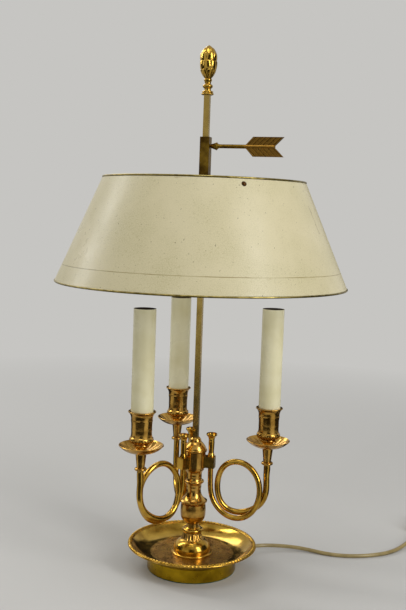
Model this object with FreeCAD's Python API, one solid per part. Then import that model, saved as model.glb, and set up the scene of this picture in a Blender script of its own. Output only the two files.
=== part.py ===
import FreeCAD, Part
import math
import os

# Bouillotte lamp. Millimetres, +Z up, origin at the centre of the underside.
# The front of the lamp looks along -Y.

V = FreeCAD.Vector
UP = V(0, 0, 1)

# Clearances
SOLDER_GAP = 0.05
BEND_GAP = 0.15
SLIP = 0.3

# Foot and dish
FELT_T = 1.2
FELT_INSET = 0.5
FOOT_R = 57.0
FOOT_WALL = 2.5
DISH_SEAT_Z = 17.5
DISH_T = 2.5
DISH_FLOOR_R = 53.0
DISH_LIP_R = 77.0
DISH_LIP_Z = 29.8
DISH_LIP_T = 2.0
RIM_R = 82.8
RIM_H = 4.4
WEIGHT_R = 52.0
WEIGHT_T = 8.0

# Threaded tie tube and its nut
TIE_R = 5.0
TIE_BORE_R = 3.6
TIE_LOW_Z = 3.4
TIE_IN_HUB = 18.5
NUT_FLANGE_R = 11.0
NUT_FLANGE_T = 1.5
NUT_H = 4.2
NUT_FLATS = 17.0

# Turned column, from the dish floor up
COLLAR_H = 34.0
COLLAR_BASE_R = 26.2
COLLAR_DOME_R = 24.0
COLLAR_SHOULDER_R = 15.5
COLLAR_NECK_R = 10.4
COLLAR_RING_R = 13.5
URN_H = 32.2
URN_NECK_R = 7.6
URN_BELLY_R = 16.1
SHAFT_H = 45.0
SHAFT_LIP_R = 17.6
SHAFT_WAIST_R = 9.6
SHAFT_RING_R = 12.7
SHAFT_NECK_R = 9.8
SHAFT_TOP_R = 12.2
HUB_H = 21.8
HUB_R = 13.7
HUB_FLAT = 12.7
HUB_WALL = 3.5
HUB_FLOOR_T = 3.0
CAP_H = 18.0
CAP_R = 15.5
CAP_TOP_R = 5.4

# Square rod, finial
ROD_W = 7.0
ROD_TURN = -15.0
ROD_L = 429.0
ROD_SPIGOT_R = 3.5
ROD_SPIGOT_IN_TUBE = 9.0
ROD_TOP_SPIGOT_R = 2.4
ROD_TOP_SPIGOT_L = 12.0
FINIAL_H = 60.0
FINIAL_FOOT_R = 7.0
FINIAL_BEAD_R = 5.5
FINIAL_NECK_R = 3.2
FINIAL_KNOB_R = 10.9

# Arms: three hunting horns
ARM_ANGLES = [-14.0, -134.0, 106.0]
CANDLE_RING_R = 93.5
BLOCK_W = 10.0
BLOCK_H = 14.6
MOUTH_U = 21.2
MOUTH_H = 30.0
MOUTH_LIP_R = 6.9
MOUTH_CUP_R = 5.3
MOUTH_CUP_D = 7.0
MOUTH_BORE_R = 1.8
HORN_R0 = 3.3
HORN_R1 = 4.0
LOOP_U = 56.4
LOOP_Z = 111.0
HORN_TOP_Z = 144.0
STEM_TOP_Z = 166.5
STEM_RING_R = 7.4
STEM_LOW_R = 4.9
STEM_TOP_R = 6.6
PAN_R = 27.3
PAN_T = 1.4
PAN_RISE = 8.6
PAN_SEAT_R = 9.2
CUP_H = 49.6
CUP_BOWL_R = 13.9
CUP_WAIST_R = 12.7
CUP_LIP_R = 16.5
CUP_BORE_R = 10.8
CUP_LEDGE = 4.0
CUP_FLOOR = 12.0
CANDLE_R = 13.5
CANDLE_WALL = 1.2
CANDLE_L = 127.5
NIPPLE_R = 4.0
NIPPLE_IN_STEM = 14.0
HOLDER_R = 11.8
HOLDER_L = 68.0
HOLDER_NECK = 8.0
HOLDER_BELOW_TOP = 15.0
SOCKET_R = 6.95
SOCKET_D = 27.0

# Shade, its frame and its sleeve
SHADE_LOW_Z = 369.0
SHADE_H = 126.0
SHADE_LOW_R = 181.0
SHADE_TOP_R = 126.0
SHADE_T = 0.9
WIRE_R = 1.2
SPIDER_ANGLES = [-70.0, 50.0, 170.0]
SPIDER_W = 9.0
SPIDER_T = 2.0
SPIDER_BELOW_TOP = 13.0
SPIDER_TAB_H = 11.0
SCREW_BELOW_TOP = 5.8
SPIDER_TAB_T = 1.6
SPIDER_HUB_R = 10.5
SPIDER_HUB_H = 6.0
SCREW_R = 1.5
SCREW_HEAD_R = 2.9
SCREW_HEAD_H = 1.5
SLEEVE_W = 12.0
SLEEVE_L = 68.0
SLEEVE_TOP_Z = 549.0

# Arrow key, a clamp screw
KEY_Z = 538.0
KEY_TIP_R = 2.0
KEY_HEAD_R = 5.0
KEY_HEAD_L = 9.5
KEY_SHAFT_R = 2.45
KEY_SHAFT_L = 33.0
FLETCH_L = 49.0
FLETCH_H = 24.0
FLETCH_T = 3.0
FLETCH_SLANT = 11.0
FLETCH_NOTCH = 12.0
FLETCH_GROOVES = 6
GROOVE_W = 1.4
GROOVE_D = 0.6

# Cord, its switch and its plug
CORD_R = 2.5
CORD_EXIT_ANGLE = 35.0
CORD_EXIT_Z = 8.0
RELIEF_L = 24.0
RELIEF_R0 = 4.6
RELIEF_R1 = 3.1
RELIEF_FLANGE_R = 5.2
RELIEF_FLANGE_T = 2.0
RELIEF_STEM_R = 3.5
SWITCH_ANGLE = 64.0
SWITCH_Z = 6.5
SWITCH_L = 62.0
SWITCH_W = 26.0
SWITCH_H = 17.0
SWITCH_SPLIT_Z = 8.5
ROCKER_L = 17.2
ROCKER_W = 11.0
ROCKER_PIVOT_Z = 13.0
ROCKER_TILT = 10.0
ROCKER_END_H = 4.2
ROCKER_END_GAP = 0.9
ROCKER_SIDE_GAP = 0.5
COIL_TURNS_IN = 3.5
COIL_INNER_R = 21.0
COIL_PITCH = 5.45
COIL_LAYER = 5.45
COIL_CLIMB_IN = 1.2
COIL_LEAD = 40.0
PLUG_LEAD = 40.0
PLUG_L = 36.0
PLUG_W = 34.0
PLUG_T = 15.0
PIN_R = 2.4
PIN_L = 19.0
PIN_GAP = 18.6


# Levels that follow from the sizes above
DISH_FLOOR_Z = DISH_SEAT_Z + DISH_T
COLLAR_TOP_Z = DISH_FLOOR_Z + COLLAR_H
URN_TOP_Z = COLLAR_TOP_Z + URN_H
HUB_LOW_Z = URN_TOP_Z + SHAFT_H
HUB_TOP_Z = HUB_LOW_Z + HUB_H
CAP_TOP_Z = HUB_TOP_Z + CAP_H
ROD_TOP_Z = CAP_TOP_Z + ROD_L
BLOCK_LOW_Z = HUB_TOP_Z - BLOCK_H - 5.0
BLOCK_TOP_Z = BLOCK_LOW_Z + BLOCK_H
TIE_TOP_Z = HUB_LOW_Z + TIE_IN_HUB
PAN_FLOOR_Z = STEM_TOP_Z + PAN_T
CUP_TOP_Z = PAN_FLOOR_Z + CUP_H
CANDLE_LOW_Z = CUP_TOP_Z - CUP_LEDGE
CANDLE_TOP_Z = CANDLE_LOW_Z + CANDLE_L
HOLDER_TOP_Z = CANDLE_TOP_Z - HOLDER_BELOW_TOP
HOLDER_LOW_Z = HOLDER_TOP_Z - HOLDER_L
SHADE_TOP_Z = SHADE_LOW_Z + SHADE_H
SPIDER_LOW_Z = SHADE_TOP_Z - SPIDER_BELOW_TOP
ROD_HOLE_W = ROD_W + 2 * SLIP


def profile(start, *moves):
    """Closed face in the XZ plane: each move is a point, or a pair (through, end) for an arc."""
    edges = []
    here = V(start[0], 0, start[1])
    first = here
    for move in moves:
        if isinstance(move[0], tuple):
            through = V(move[0][0], 0, move[0][1])
            there = V(move[1][0], 0, move[1][1])
            edges.append(Part.Arc(here, through, there).toShape())
        else:
            there = V(move[0], 0, move[1])
            edges.append(Part.LineSegment(here, there).toShape())
        here = there
    edges.append(Part.LineSegment(here, first).toShape())
    return Part.Face(Part.Wire(edges))


def lathe(start, *moves, x=0.0):
    """Turned solid about the vertical line through (x, 0)."""
    solid = profile(start, *moves).revolve(V(0, 0, 0), UP, 360)
    solid.translate(V(x, 0, 0))
    return solid


def bar(width, low_z, high_z, turn=0.0):
    """Upright square bar on the axis."""
    box = Part.makeBox(width, width, high_z - low_z, V(-width / 2, -width / 2, low_z))
    box.rotate(V(0, 0, 0), UP, turn)
    return box


def at_angle(shape, degrees):
    """Copy of a shape, turned about the lamp's axis."""
    turned = shape.copy()
    turned.rotate(V(0, 0, 0), UP, degrees)
    return turned


def bulge(start, end, height):
    """Middle point of an arc that stands off the line from start to end by height."""
    length = math.hypot(end[0] - start[0], end[1] - start[1])
    normal = ((end[1] - start[1]) / length, -(end[0] - start[0]) / length)
    middle = ((start[0] + end[0]) / 2, (start[1] + end[1]) / 2)
    return (middle[0] + normal[0] * height, middle[1] + normal[1] * height)


def curve(start, end, height):
    """Arc move for profile."""
    return (bulge(start, end, height), end)


def level_curve(start, end):
    """Arc move that leaves start level and rises to end."""
    run = end[0] - start[0]
    rise = end[1] - start[1]
    radius = (run ** 2 + rise ** 2) / (2 * rise)
    half = math.asin(run / radius) / 2
    through = (start[0] + radius * math.sin(half), start[1] + radius * (1 - math.cos(half)))
    return (through, end)


# Foot and dish

def make_felt():
    return Part.makeCylinder(FOOT_R - FELT_INSET, FELT_T)


def cord_hole(radius, start, length):
    """Cylinder along the line on which the cord leaves the foot."""
    hole = Part.makeCylinder(radius, length, V(start, 0, CORD_EXIT_Z), V(1, 0, 0))
    return at_angle(hole, CORD_EXIT_ANGLE)


def make_foot_ring():
    inner = FOOT_R - FOOT_WALL
    ring = lathe((inner, FELT_T), (FOOT_R, FELT_T), (FOOT_R, DISH_SEAT_Z), (inner, DISH_SEAT_Z))
    return ring.cut(cord_hole(RELIEF_STEM_R + 0.1, inner - FOOT_WALL, 3 * FOOT_WALL))


def make_dish():
    bore = TIE_R + SLIP
    under = (FOOT_R + 1.0, DISH_SEAT_Z)
    lip_low = (DISH_LIP_R + DISH_T, DISH_LIP_Z - DISH_LIP_T)
    lip_out = RIM_R - 0.4
    floor = (DISH_FLOOR_R, DISH_FLOOR_Z)
    lip_in = (DISH_LIP_R, DISH_LIP_Z)
    wall = level_curve(floor, lip_in)
    return lathe(
        (bore, DISH_SEAT_Z), under, level_curve(under, lip_low), (lip_out, lip_low[1]),
        (lip_out, DISH_LIP_Z), lip_in, (wall[0], floor), (bore, DISH_FLOOR_Z))


def make_rim_moulding():
    outer = (RIM_R, DISH_LIP_Z + 0.9)
    crown = (DISH_LIP_R + 1.0, DISH_LIP_Z + 0.62 * RIM_H)
    top = (RIM_R - RIM_H / 2, DISH_LIP_Z + RIM_H)
    return lathe((DISH_LIP_R, DISH_LIP_Z), (RIM_R, DISH_LIP_Z), outer, (top, crown))


def make_base_weight():
    low = DISH_SEAT_Z - WEIGHT_T
    bore = TIE_R + SLIP
    return lathe((bore, low), (WEIGHT_R, low), (WEIGHT_R, DISH_SEAT_Z), (bore, DISH_SEAT_Z))


def make_tie_nut():
    top = DISH_SEAT_Z - WEIGHT_T
    flange = Part.makeCylinder(NUT_FLANGE_R, NUT_FLANGE_T, V(0, 0, top - NUT_FLANGE_T))
    corner = NUT_FLATS / math.sqrt(3)
    low = top - NUT_FLANGE_T - NUT_H
    points = []
    for side in range(7):
        angle = math.radians(60 * side)
        points.append(V(corner * math.cos(angle), corner * math.sin(angle), low))
    hexagon = Part.Face(Part.makePolygon(points)).extrude(V(0, 0, NUT_H))
    bore = Part.makeCylinder(TIE_R + SOLDER_GAP, top, V(0, 0, 0))
    return flange.fuse(hexagon).cut(bore).removeSplitter()


def make_tie_tube():
    return lathe(
        (TIE_BORE_R, TIE_LOW_Z), (TIE_R, TIE_LOW_Z), (TIE_R, TIE_TOP_Z), (TIE_BORE_R, TIE_TOP_Z))


# Turned column

def make_collar():
    """Domed collar on the dish floor, with a ring at its neck."""
    z = DISH_FLOOR_Z
    bore = TIE_R + SLIP
    foot = (COLLAR_DOME_R, z + 2.4)
    shoulder = (COLLAR_SHOULDER_R, z + 17.6)
    neck = (COLLAR_NECK_R, z + 25.0)
    ring_low = (COLLAR_NECK_R, z + 27.2)
    ring_high = (COLLAR_NECK_R, z + 32.4)
    return lathe(
        (bore, z), (COLLAR_BASE_R, z),
        curve((COLLAR_BASE_R, z), (COLLAR_BASE_R - 0.6, z + 2.0), 0.5),
        foot, curve(foot, shoulder, 2.6), curve(shoulder, neck, -1.2), ring_low,
        ((COLLAR_RING_R, z + 29.8), ring_high), (URN_NECK_R + 1.2, COLLAR_TOP_Z),
        (bore, COLLAR_TOP_Z))


def make_urn():
    z = COLLAR_TOP_Z
    bore = TIE_R + SLIP
    neck = (URN_NECK_R, z + 4.4)
    belly = (URN_BELLY_R, z + 17.0)
    top = (URN_BELLY_R - 0.5, URN_TOP_Z - 1.6)
    return lathe(
        (bore, z), (URN_NECK_R + 0.6, z), neck, curve(neck, belly, 2.2), curve(belly, top, 0.4),
        (URN_BELLY_R - 1.6, URN_TOP_Z - 0.8), (URN_BELLY_R - 1.6, URN_TOP_Z), (bore, URN_TOP_Z))


def make_shaft():
    z = URN_TOP_Z
    bore = TIE_R + SLIP
    lip = (SHAFT_LIP_R, z + 3.0)
    waist = (SHAFT_WAIST_R, z + 20.0)
    ring_low = (SHAFT_WAIST_R + 1.0, z + 25.6)
    ring_high = (SHAFT_WAIST_R + 1.0, z + 29.4)
    neck = (SHAFT_NECK_R, z + 34.6)
    top = (SHAFT_TOP_R, z + 43.2)
    return lathe(
        (bore, z), (SHAFT_LIP_R - 1.4, z), ((SHAFT_LIP_R, z + 1.6), lip),
        curve(lip, waist, -3.4), curve(waist, ring_low, -0.4),
        ((SHAFT_RING_R, z + 27.5), ring_high), curve(ring_high, neck, -0.5),
        curve(neck, top, -1.0), (SHAFT_TOP_R, HUB_LOW_Z), (bore, HUB_LOW_Z))


def make_hub():
    """Wiring drum, with three flats on which the arm blocks are seated."""
    bore = TIE_R + SLIP
    inside = HUB_R - HUB_WALL
    floor = HUB_LOW_Z + HUB_FLOOR_T
    drum = lathe(
        (bore, HUB_LOW_Z), (HUB_R - 1.0, HUB_LOW_Z), (HUB_R, HUB_LOW_Z + 1.0), (HUB_R, HUB_TOP_Z),
        (inside, HUB_TOP_Z), (inside, floor), (bore, floor))
    for angle in ARM_ANGLES:
        cutter = Part.makeBox(HUB_R, 2 * HUB_R, BLOCK_H, V(HUB_FLAT, -HUB_R, BLOCK_LOW_Z))
        drum = drum.cut(at_angle(cutter, angle))
    return drum


def make_cap():
    z = HUB_TOP_Z
    bore = ROD_SPIGOT_R + SOLDER_GAP
    shoulder = (CAP_R - 0.9, z + 3.2)
    waist = (CAP_TOP_R + 2.6, z + 12.6)
    top = (CAP_TOP_R, CAP_TOP_Z)
    return lathe(
        (bore, z), (CAP_R - 0.8, z), ((CAP_R, z + 1.6), shoulder), curve(shoulder, waist, 0.8),
        curve(waist, top, 0.5), (bore, CAP_TOP_Z))


def make_rod():
    square = bar(ROD_W, CAP_TOP_Z, ROD_TOP_Z, ROD_TURN)
    low = TIE_TOP_Z - ROD_SPIGOT_IN_TUBE
    spigot = Part.makeCylinder(ROD_SPIGOT_R, CAP_TOP_Z - low, V(0, 0, low))
    top = Part.makeCylinder(ROD_TOP_SPIGOT_R, ROD_TOP_SPIGOT_L, V(0, 0, ROD_TOP_Z))
    return square.fuse([spigot, top])


def make_finial():
    """Flame knob on a turned foot."""
    z = ROD_TOP_Z
    bore = ROD_TOP_SPIGOT_R + SOLDER_GAP
    bore_top = z + ROD_TOP_SPIGOT_L + 1.0
    neck = (FINIAL_NECK_R + 0.8, z + 16.5)
    knob_low = (FINIAL_NECK_R + 1.2, z + 22.5)
    knob_wide = (FINIAL_KNOB_R, z + 39.0)
    tip = (1.2, z + FINIAL_H - 0.6)
    return lathe(
        (bore, z), (FINIAL_FOOT_R - 0.8, z), ((FINIAL_FOOT_R, z + 1.8), (FINIAL_FOOT_R - 0.8, z + 3.6)),
        (FINIAL_BEAD_R - 1.4, z + 6.4), (FINIAL_BEAD_R - 1.0, z + 8.4),
        ((FINIAL_BEAD_R, z + 10.4), (FINIAL_BEAD_R - 1.0, z + 12.4)),
        curve((FINIAL_BEAD_R - 1.0, z + 12.4), neck, -0.4), curve(neck, knob_low, -0.7),
        curve(knob_low, knob_wide, 2.2), curve(knob_wide, tip, 3.0), (0.0, z + FINIAL_H),
        (0.0, bore_top), (bore, bore_top))


# Arms, each made along +X and then turned to its place

def make_block():
    inner = Part.makeBox(
        MOUTH_U + BLOCK_W / 2 - HUB_FLAT, BLOCK_W, BLOCK_H, V(HUB_FLAT, -BLOCK_W / 2, BLOCK_LOW_Z))
    hole = Part.makeCylinder(HORN_R0 + SLIP, BLOCK_H, V(MOUTH_U, 0, BLOCK_LOW_Z))
    return inner.cut(hole)


def make_mouthpiece():
    z = BLOCK_TOP_Z
    top = z + MOUTH_H
    waist = (HORN_R0 + 0.1, z + 5.0)
    throat = (HORN_R0 + 0.6, z + 19.0)
    flare = (MOUTH_LIP_R - 1.2, top - 3.4)
    floor = top - MOUTH_CUP_D
    return lathe(
        (0.0, z), (HORN_R0 + 1.3, z), (HORN_R0 + 1.3, z + 1.6), waist, throat,
        curve(throat, flare, -0.9), ((MOUTH_LIP_R, top - 1.8), (MOUTH_LIP_R - 0.6, top)),
        (MOUTH_CUP_R, top), curve((MOUTH_CUP_R, top), (MOUTH_BORE_R, floor), -0.8), (0.0, floor),
        x=MOUTH_U)


def ease(value):
    """Smooth step from 0 to 1."""
    return value * value * (3 - 2 * value)


def between(stations, degrees):
    """Value at an angle, from stations (angle, value) joined by smooth steps."""
    for (low, first), (high, second) in zip(stations, stations[1:]):
        if degrees <= high:
            return first + (second - first) * ease((degrees - low) / (high - low))
    return stations[-1][1]


# One and a half turns, seen from the side: 180 is the side at the column, 270 is the bottom.
# HALF_U and HALF_Z are the loop's half axes, SIDE is how far the tube stands out of the arm's plane.
HALF_U = [(180, 34.8), (360, 30.4), (540, 26.2), (720, CANDLE_RING_R - LOOP_U)]
HALF_Z = [(180, 38.6), (270, 38.6), (450, 34.4), (630, 33.2), (720, 33.2)]
SIDE = [(180, 0.0), (225, -2.6), (270, -4.4), (360, -7.9), (450, -4.0), (540, 2.4), (630, 4.4), (720, 0.0)]
HORN_STEP = 22.5
HORN_SECTIONS = 30


def horn_points():
    """Centre line of the horn's tube, from the block to the foot of the candle stem."""
    points = [V(MOUTH_U, 0, BLOCK_TOP_Z - BLOCK_H * share) for share in (0, 0.5, 1.0)]
    steps = int((720 - 180) / HORN_STEP)
    for step in range(steps + 1):
        degrees = 180 + step * HORN_STEP
        angle = math.radians(degrees)
        u = LOOP_U + between(HALF_U, degrees) * math.cos(angle)
        z = LOOP_Z + between(HALF_Z, degrees) * math.sin(angle)
        points.append(V(u, between(SIDE, degrees), z))
    points.append(V(CANDLE_RING_R, 0, (LOOP_Z + HORN_TOP_Z) / 2))
    points.append(V(CANDLE_RING_R, 0, HORN_TOP_Z))
    return points


def make_horn():
    """Tube that widens a little from the mouthpiece to the stem, bent into a double loop."""
    points = horn_points()
    line = Part.BSplineCurve()
    line.interpolate(Points=points, InitialTangent=V(0, 0, -1), FinalTangent=V(0, 0, 1))
    sections = HORN_SECTIONS
    first, last = line.FirstParameter, line.LastParameter
    rings = []
    side = V(0, 1, 0)
    for number in range(sections + 1):
        share = number / sections
        where = first + (last - first) * share
        centre = line.value(where)
        along = line.tangent(where)[0]
        radius = HORN_R0 + (HORN_R1 - HORN_R0) * share
        across = along.cross(side).normalize()
        circle = Part.Circle(centre, along, radius)
        circle.XAxis = across
        rings.append(Part.Wire(circle.toShape()))
    solid = Part.makeLoft(rings, True, False)
    length = line.length()
    mean = math.pi * ((HORN_R0 + HORN_R1) / 2) ** 2 * length
    print("horn length %.1f, volume %.0f of %.0f" % (length, solid.Volume, mean))
    print("horn self gap %.2f" % self_gap(line, length, HORN_R0, HORN_R1))
    return solid


def self_gap(line, length, first_r, last_r):
    """Least gap between stretches of one tube that lie more than four diameters apart along it."""
    step = 2.0
    count = int(length / step)
    points = line.discretize(Number=count)
    skip = int(8 * last_r / step)
    least = length
    for one in range(count):
        for other in range(one + skip, count):
            radii = 2 * first_r + (last_r - first_r) * (one + other) / count
            least = min(least, points[one].distanceToPoint(points[other]) - radii)
    return least


def make_stem():
    ring = HORN_TOP_Z + 2.4
    bore = NIPPLE_R + SOLDER_GAP
    bore_low = STEM_TOP_Z - NIPPLE_IN_STEM
    x = CANDLE_RING_R
    return lathe(
        (0.0, HORN_TOP_Z), (HORN_R1 + 0.8, HORN_TOP_Z), (STEM_LOW_R, ring - 1.6),
        ((STEM_RING_R, ring), (STEM_LOW_R, ring + 1.6)), (STEM_LOW_R, ring + 2.6),
        (STEM_TOP_R, STEM_TOP_Z - 1.6), (STEM_TOP_R + 0.8, STEM_TOP_Z), (bore, STEM_TOP_Z),
        (bore, bore_low), (0.0, bore_low), x=x)


def make_pan():
    low = STEM_TOP_Z
    hole = NIPPLE_R + SLIP
    seat = (PAN_SEAT_R, low)
    edge = (PAN_R - 0.8, low + PAN_RISE)
    bead = (PAN_R, low + PAN_RISE + 0.7)
    inside_edge = (PAN_R - 1.6, low + PAN_RISE + 0.7)
    inside_seat = (PAN_SEAT_R, low + PAN_T)
    return lathe(
        (hole, low), seat, curve(seat, edge, 1.8), (bead, (PAN_R - 0.8, low + PAN_RISE + 1.4)),
        inside_edge, curve(inside_edge, inside_seat, -1.6), (hole, low + PAN_T),
        x=CANDLE_RING_R)


def make_cup():
    z = PAN_FLOOR_Z
    hole = NIPPLE_R + SLIP
    mouth = CANDLE_R + SLIP
    ledge = CUP_TOP_Z - CUP_LEDGE
    bowl_low = (CUP_BOWL_R - 5.0, z + 10.2)
    bowl = (CUP_BOWL_R, z + 17.4)
    waist = (CUP_WAIST_R, z + 27.0)
    neck = (CUP_WAIST_R + 0.5, z + 38.5)
    lip = (CUP_LIP_R, CUP_TOP_Z - 0.9)
    return lathe(
        (hole, z), (8.6, z), (8.6, z + 1.4), (6.7, z + 3.4), (7.4, z + 6.4),
        ((10.2, z + 8.2), bowl_low), curve(bowl_low, bowl, 1.9), (CUP_BOWL_R - 0.9, z + 18.6),
        curve((CUP_BOWL_R - 0.9, z + 18.6), waist, -0.3), curve(waist, neck, -0.3),
        curve(neck, lip, -1.3), (CUP_LIP_R, CUP_TOP_Z), (mouth, CUP_TOP_Z), (mouth, ledge),
        (CUP_BORE_R, ledge), (CUP_BORE_R, z + CUP_FLOOR), (hole, z + CUP_FLOOR), x=CANDLE_RING_R)


def make_candle_tube():
    inner = CANDLE_R - CANDLE_WALL
    return lathe(
        (inner, CANDLE_LOW_Z), (CANDLE_R, CANDLE_LOW_Z), (CANDLE_R, CANDLE_TOP_Z),
        (inner, CANDLE_TOP_Z), x=CANDLE_RING_R)


def make_nipple():
    low = STEM_TOP_Z - NIPPLE_IN_STEM
    high = HOLDER_LOW_Z + HOLDER_NECK
    return Part.makeCylinder(NIPPLE_R, high - low, V(CANDLE_RING_R, 0, low))


def make_lampholder():
    """Holder for a small screw cap bulb, inside the top of the candle tube."""
    bore = NIPPLE_R + SOLDER_GAP
    low = HOLDER_LOW_Z
    neck = low + HOLDER_NECK
    socket = HOLDER_TOP_Z - SOCKET_D
    return lathe(
        (bore, low), (NIPPLE_R + 3.0, low), (NIPPLE_R + 3.0, neck), (HOLDER_R, neck + 4.0),
        (HOLDER_R, HOLDER_TOP_Z), (SOCKET_R, HOLDER_TOP_Z), (SOCKET_R, socket), (0.0, socket),
        (0.0, neck), (bore, neck), x=CANDLE_RING_R)


# Shade

def shade_outer(z):
    """Outer radius of the shade at a height."""
    share = (z - SHADE_LOW_Z) / SHADE_H
    return SHADE_LOW_R + (SHADE_TOP_R - SHADE_LOW_R) * share


def shade_slant():
    """Unit steps outwards and upwards along the shade's wall, going down it."""
    run = SHADE_LOW_R - SHADE_TOP_R
    length = math.hypot(run, SHADE_H)
    return run / length, -SHADE_H / length


def screw_axis(z):
    """Point on the middle of the shade's wall, and the outward direction square to it."""
    out, down = shade_slant()
    return V(shade_outer(z) - SHADE_T / 2, 0, z), V(-down, 0, out)


SCREW_Z = SHADE_TOP_Z - SCREW_BELOW_TOP


def screw_hole(degrees):
    middle, outward = screw_axis(SCREW_Z)
    reach = 8.0
    hole = Part.makeCylinder(SCREW_R + 0.1, 2 * reach, middle - outward * reach, outward)
    return at_angle(hole, degrees)


def make_shade_shell():
    shell = lathe(
        (SHADE_LOW_R - SHADE_T, SHADE_LOW_Z), (SHADE_LOW_R, SHADE_LOW_Z),
        (SHADE_TOP_R, SHADE_TOP_Z), (SHADE_TOP_R - SHADE_T, SHADE_TOP_Z))
    for angle in SPIDER_ANGLES:
        shell = shell.cut(screw_hole(angle))
    return shell


def make_wire(edge_r, edge_z, way):
    """Rim wire against the edge of the shade; way is 1 below it and -1 above it."""
    out, down = shade_slant()
    step = way * (WIRE_R + BEND_GAP)
    return Part.makeTorus(edge_r - SHADE_T / 2 + out * step, WIRE_R, V(0, 0, edge_z + down * step))


def make_spider():
    """Three straps from a hub on the sleeve to tabs along the inside of the shade."""
    low = SPIDER_LOW_Z
    high = low + SPIDER_T
    tab_top = low + SPIDER_TAB_H
    gap = SHADE_T + 0.15

    def inside(z):
        return shade_outer(z) - gap

    face = profile(
        (SPIDER_HUB_R - 2.0, low), (inside(low), low), (inside(tab_top), tab_top),
        (inside(tab_top) - SPIDER_TAB_T, tab_top), (inside(high) - SPIDER_TAB_T, high),
        (SPIDER_HUB_R - 2.0, high))
    face.translate(V(0, -SPIDER_W / 2, 0))
    strap = face.extrude(V(0, SPIDER_W, 0))
    hub = Part.makeCylinder(SPIDER_HUB_R, SPIDER_HUB_H, V(0, 0, low))
    spider = hub.fuse([at_angle(strap, angle) for angle in SPIDER_ANGLES])
    spider = spider.cut(bar(SLEEVE_W + 2 * SOLDER_GAP, low, low + SPIDER_HUB_H, ROD_TURN))
    for angle in SPIDER_ANGLES:
        spider = spider.cut(screw_hole(angle))
    return spider.removeSplitter()


def make_spider_screws():
    """Domed screws through the shade and the tabs, each with its nut inside."""
    middle, outward = screw_axis(SCREW_Z)
    head_at = middle + outward * (SHADE_T / 2 + SOLDER_GAP)
    nut_depth = SHADE_T / 2 + 0.15 + SPIDER_TAB_T + SOLDER_GAP
    nut_t = 2.0
    ball = SCREW_HEAD_R * 1.3
    centre = head_at - outward * (ball - SCREW_HEAD_H)
    head = Part.makeSphere(ball, centre).common(
        Part.makeCylinder(ball, ball, head_at, outward))
    shank = Part.makeCylinder(SCREW_R, nut_depth + nut_t, middle - outward * (nut_depth + nut_t), outward)
    shank = shank.fuse(Part.makeCylinder(SCREW_R, SHADE_T / 2 + 2 * SOLDER_GAP, middle, outward))
    nut = Part.makeCylinder(SCREW_HEAD_R, nut_t, middle - outward * (nut_depth + nut_t), outward)
    screw = head.fuse([shank, nut]).removeSplitter()
    return Part.makeCompound([at_angle(screw, angle) for angle in SPIDER_ANGLES])


def make_sleeve():
    low = SLEEVE_TOP_Z - SLEEVE_L
    outer = bar(SLEEVE_W, low, SLEEVE_TOP_Z, ROD_TURN)
    inner = bar(ROD_HOLE_W, low, SLEEVE_TOP_Z, ROD_TURN)
    hole = Part.makeCylinder(KEY_TIP_R + SOLDER_GAP, SLEEVE_W, V(0, 0, KEY_Z), V(1, 0, 0))
    return outer.cut([inner, at_angle(hole, ROD_TURN)])


# Arrow key: its head points at the sleeve, and its feathers are the grip

def turned_along_x(*outline):
    """Turned solid about the key's axis, from (distance, radius) points."""
    points = [V(distance, 0, KEY_Z + radius) for distance, radius in outline]
    face = Part.Face(Part.makePolygon(points + [points[0]]))
    return face.revolve(V(0, 0, KEY_Z), V(1, 0, 0), 360)


def make_arrow_key():
    tip = ROD_W / 2 + SLIP
    head = SLEEVE_W / 2 + SLIP
    head_end = head + KEY_HEAD_L
    shaft_end = head_end + KEY_SHAFT_L
    end = shaft_end + FLETCH_L
    spine = turned_along_x(
        (tip, 0), (tip, KEY_TIP_R), (head, KEY_TIP_R), (head_end - 1.6, KEY_HEAD_R),
        (head_end, KEY_SHAFT_R + 0.6), (head_end + 2.0, KEY_SHAFT_R), (end - FLETCH_NOTCH, KEY_SHAFT_R),
        (end - FLETCH_NOTCH + 2.0, 0))
    half = FLETCH_H / 2
    outline = [
        (shaft_end, 0), (shaft_end + FLETCH_SLANT, half), (end, half), (end - FLETCH_NOTCH, 0),
        (end, -half), (shaft_end + FLETCH_SLANT, -half)]
    points = [V(x, -FLETCH_T / 2, KEY_Z + z) for x, z in outline]
    vane = Part.Face(Part.makePolygon(points + [points[0]])).extrude(V(0, FLETCH_T, 0))
    vane = vane.cut(fletch_grooves(shaft_end))
    return at_angle(spine.fuse(vane).removeSplitter(), ROD_TURN)


def fletch_grooves(start):
    """Slanting grooves between the barbs, on both faces above and below the spine."""
    pitch = (FLETCH_L - FLETCH_SLANT) / FLETCH_GROOVES
    half = FLETCH_H / 2
    cutters = []
    for number in range(FLETCH_GROOVES):
        x = start + (number + 0.75) * pitch
        for up in (1, -1):
            for face in (1, -1):
                low = V(x, face * FLETCH_T / 2, KEY_Z + up * (KEY_SHAFT_R - 0.5))
                high = low + V(FLETCH_SLANT * 1.15, 0, up * half)
                side = V(GROOVE_W / 2, 0, 0)
                depth = V(0, -face * GROOVE_D, 0)
                proud = V(0, face * 0.5, 0)
                ends = []
                for middle in (low, high):
                    corners = [middle - side + proud, middle + side + proud, middle + depth]
                    ends.append(Part.makePolygon(corners + [corners[0]]))
                cutters.append(Part.makeLoft(ends, True, True))
    return cutters


# Cord: straight runs joined by tangent arcs, and biarcs in the coil

def tangent_arc(start, tangent, end):
    """Arc from start, leaving along tangent, to end."""
    chord = end - start
    length = chord.Length
    across = tangent - chord * (tangent.dot(chord) / (length * length))
    if across.Length < 1e-9:
        return Part.LineSegment(start, end).toShape()
    across.normalize()
    angle = tangent.getAngle(chord)
    height = length / 2 * math.tan(angle / 2)
    return Part.Arc(start, (start + end) * 0.5 + across * height, end).toShape()


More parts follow.
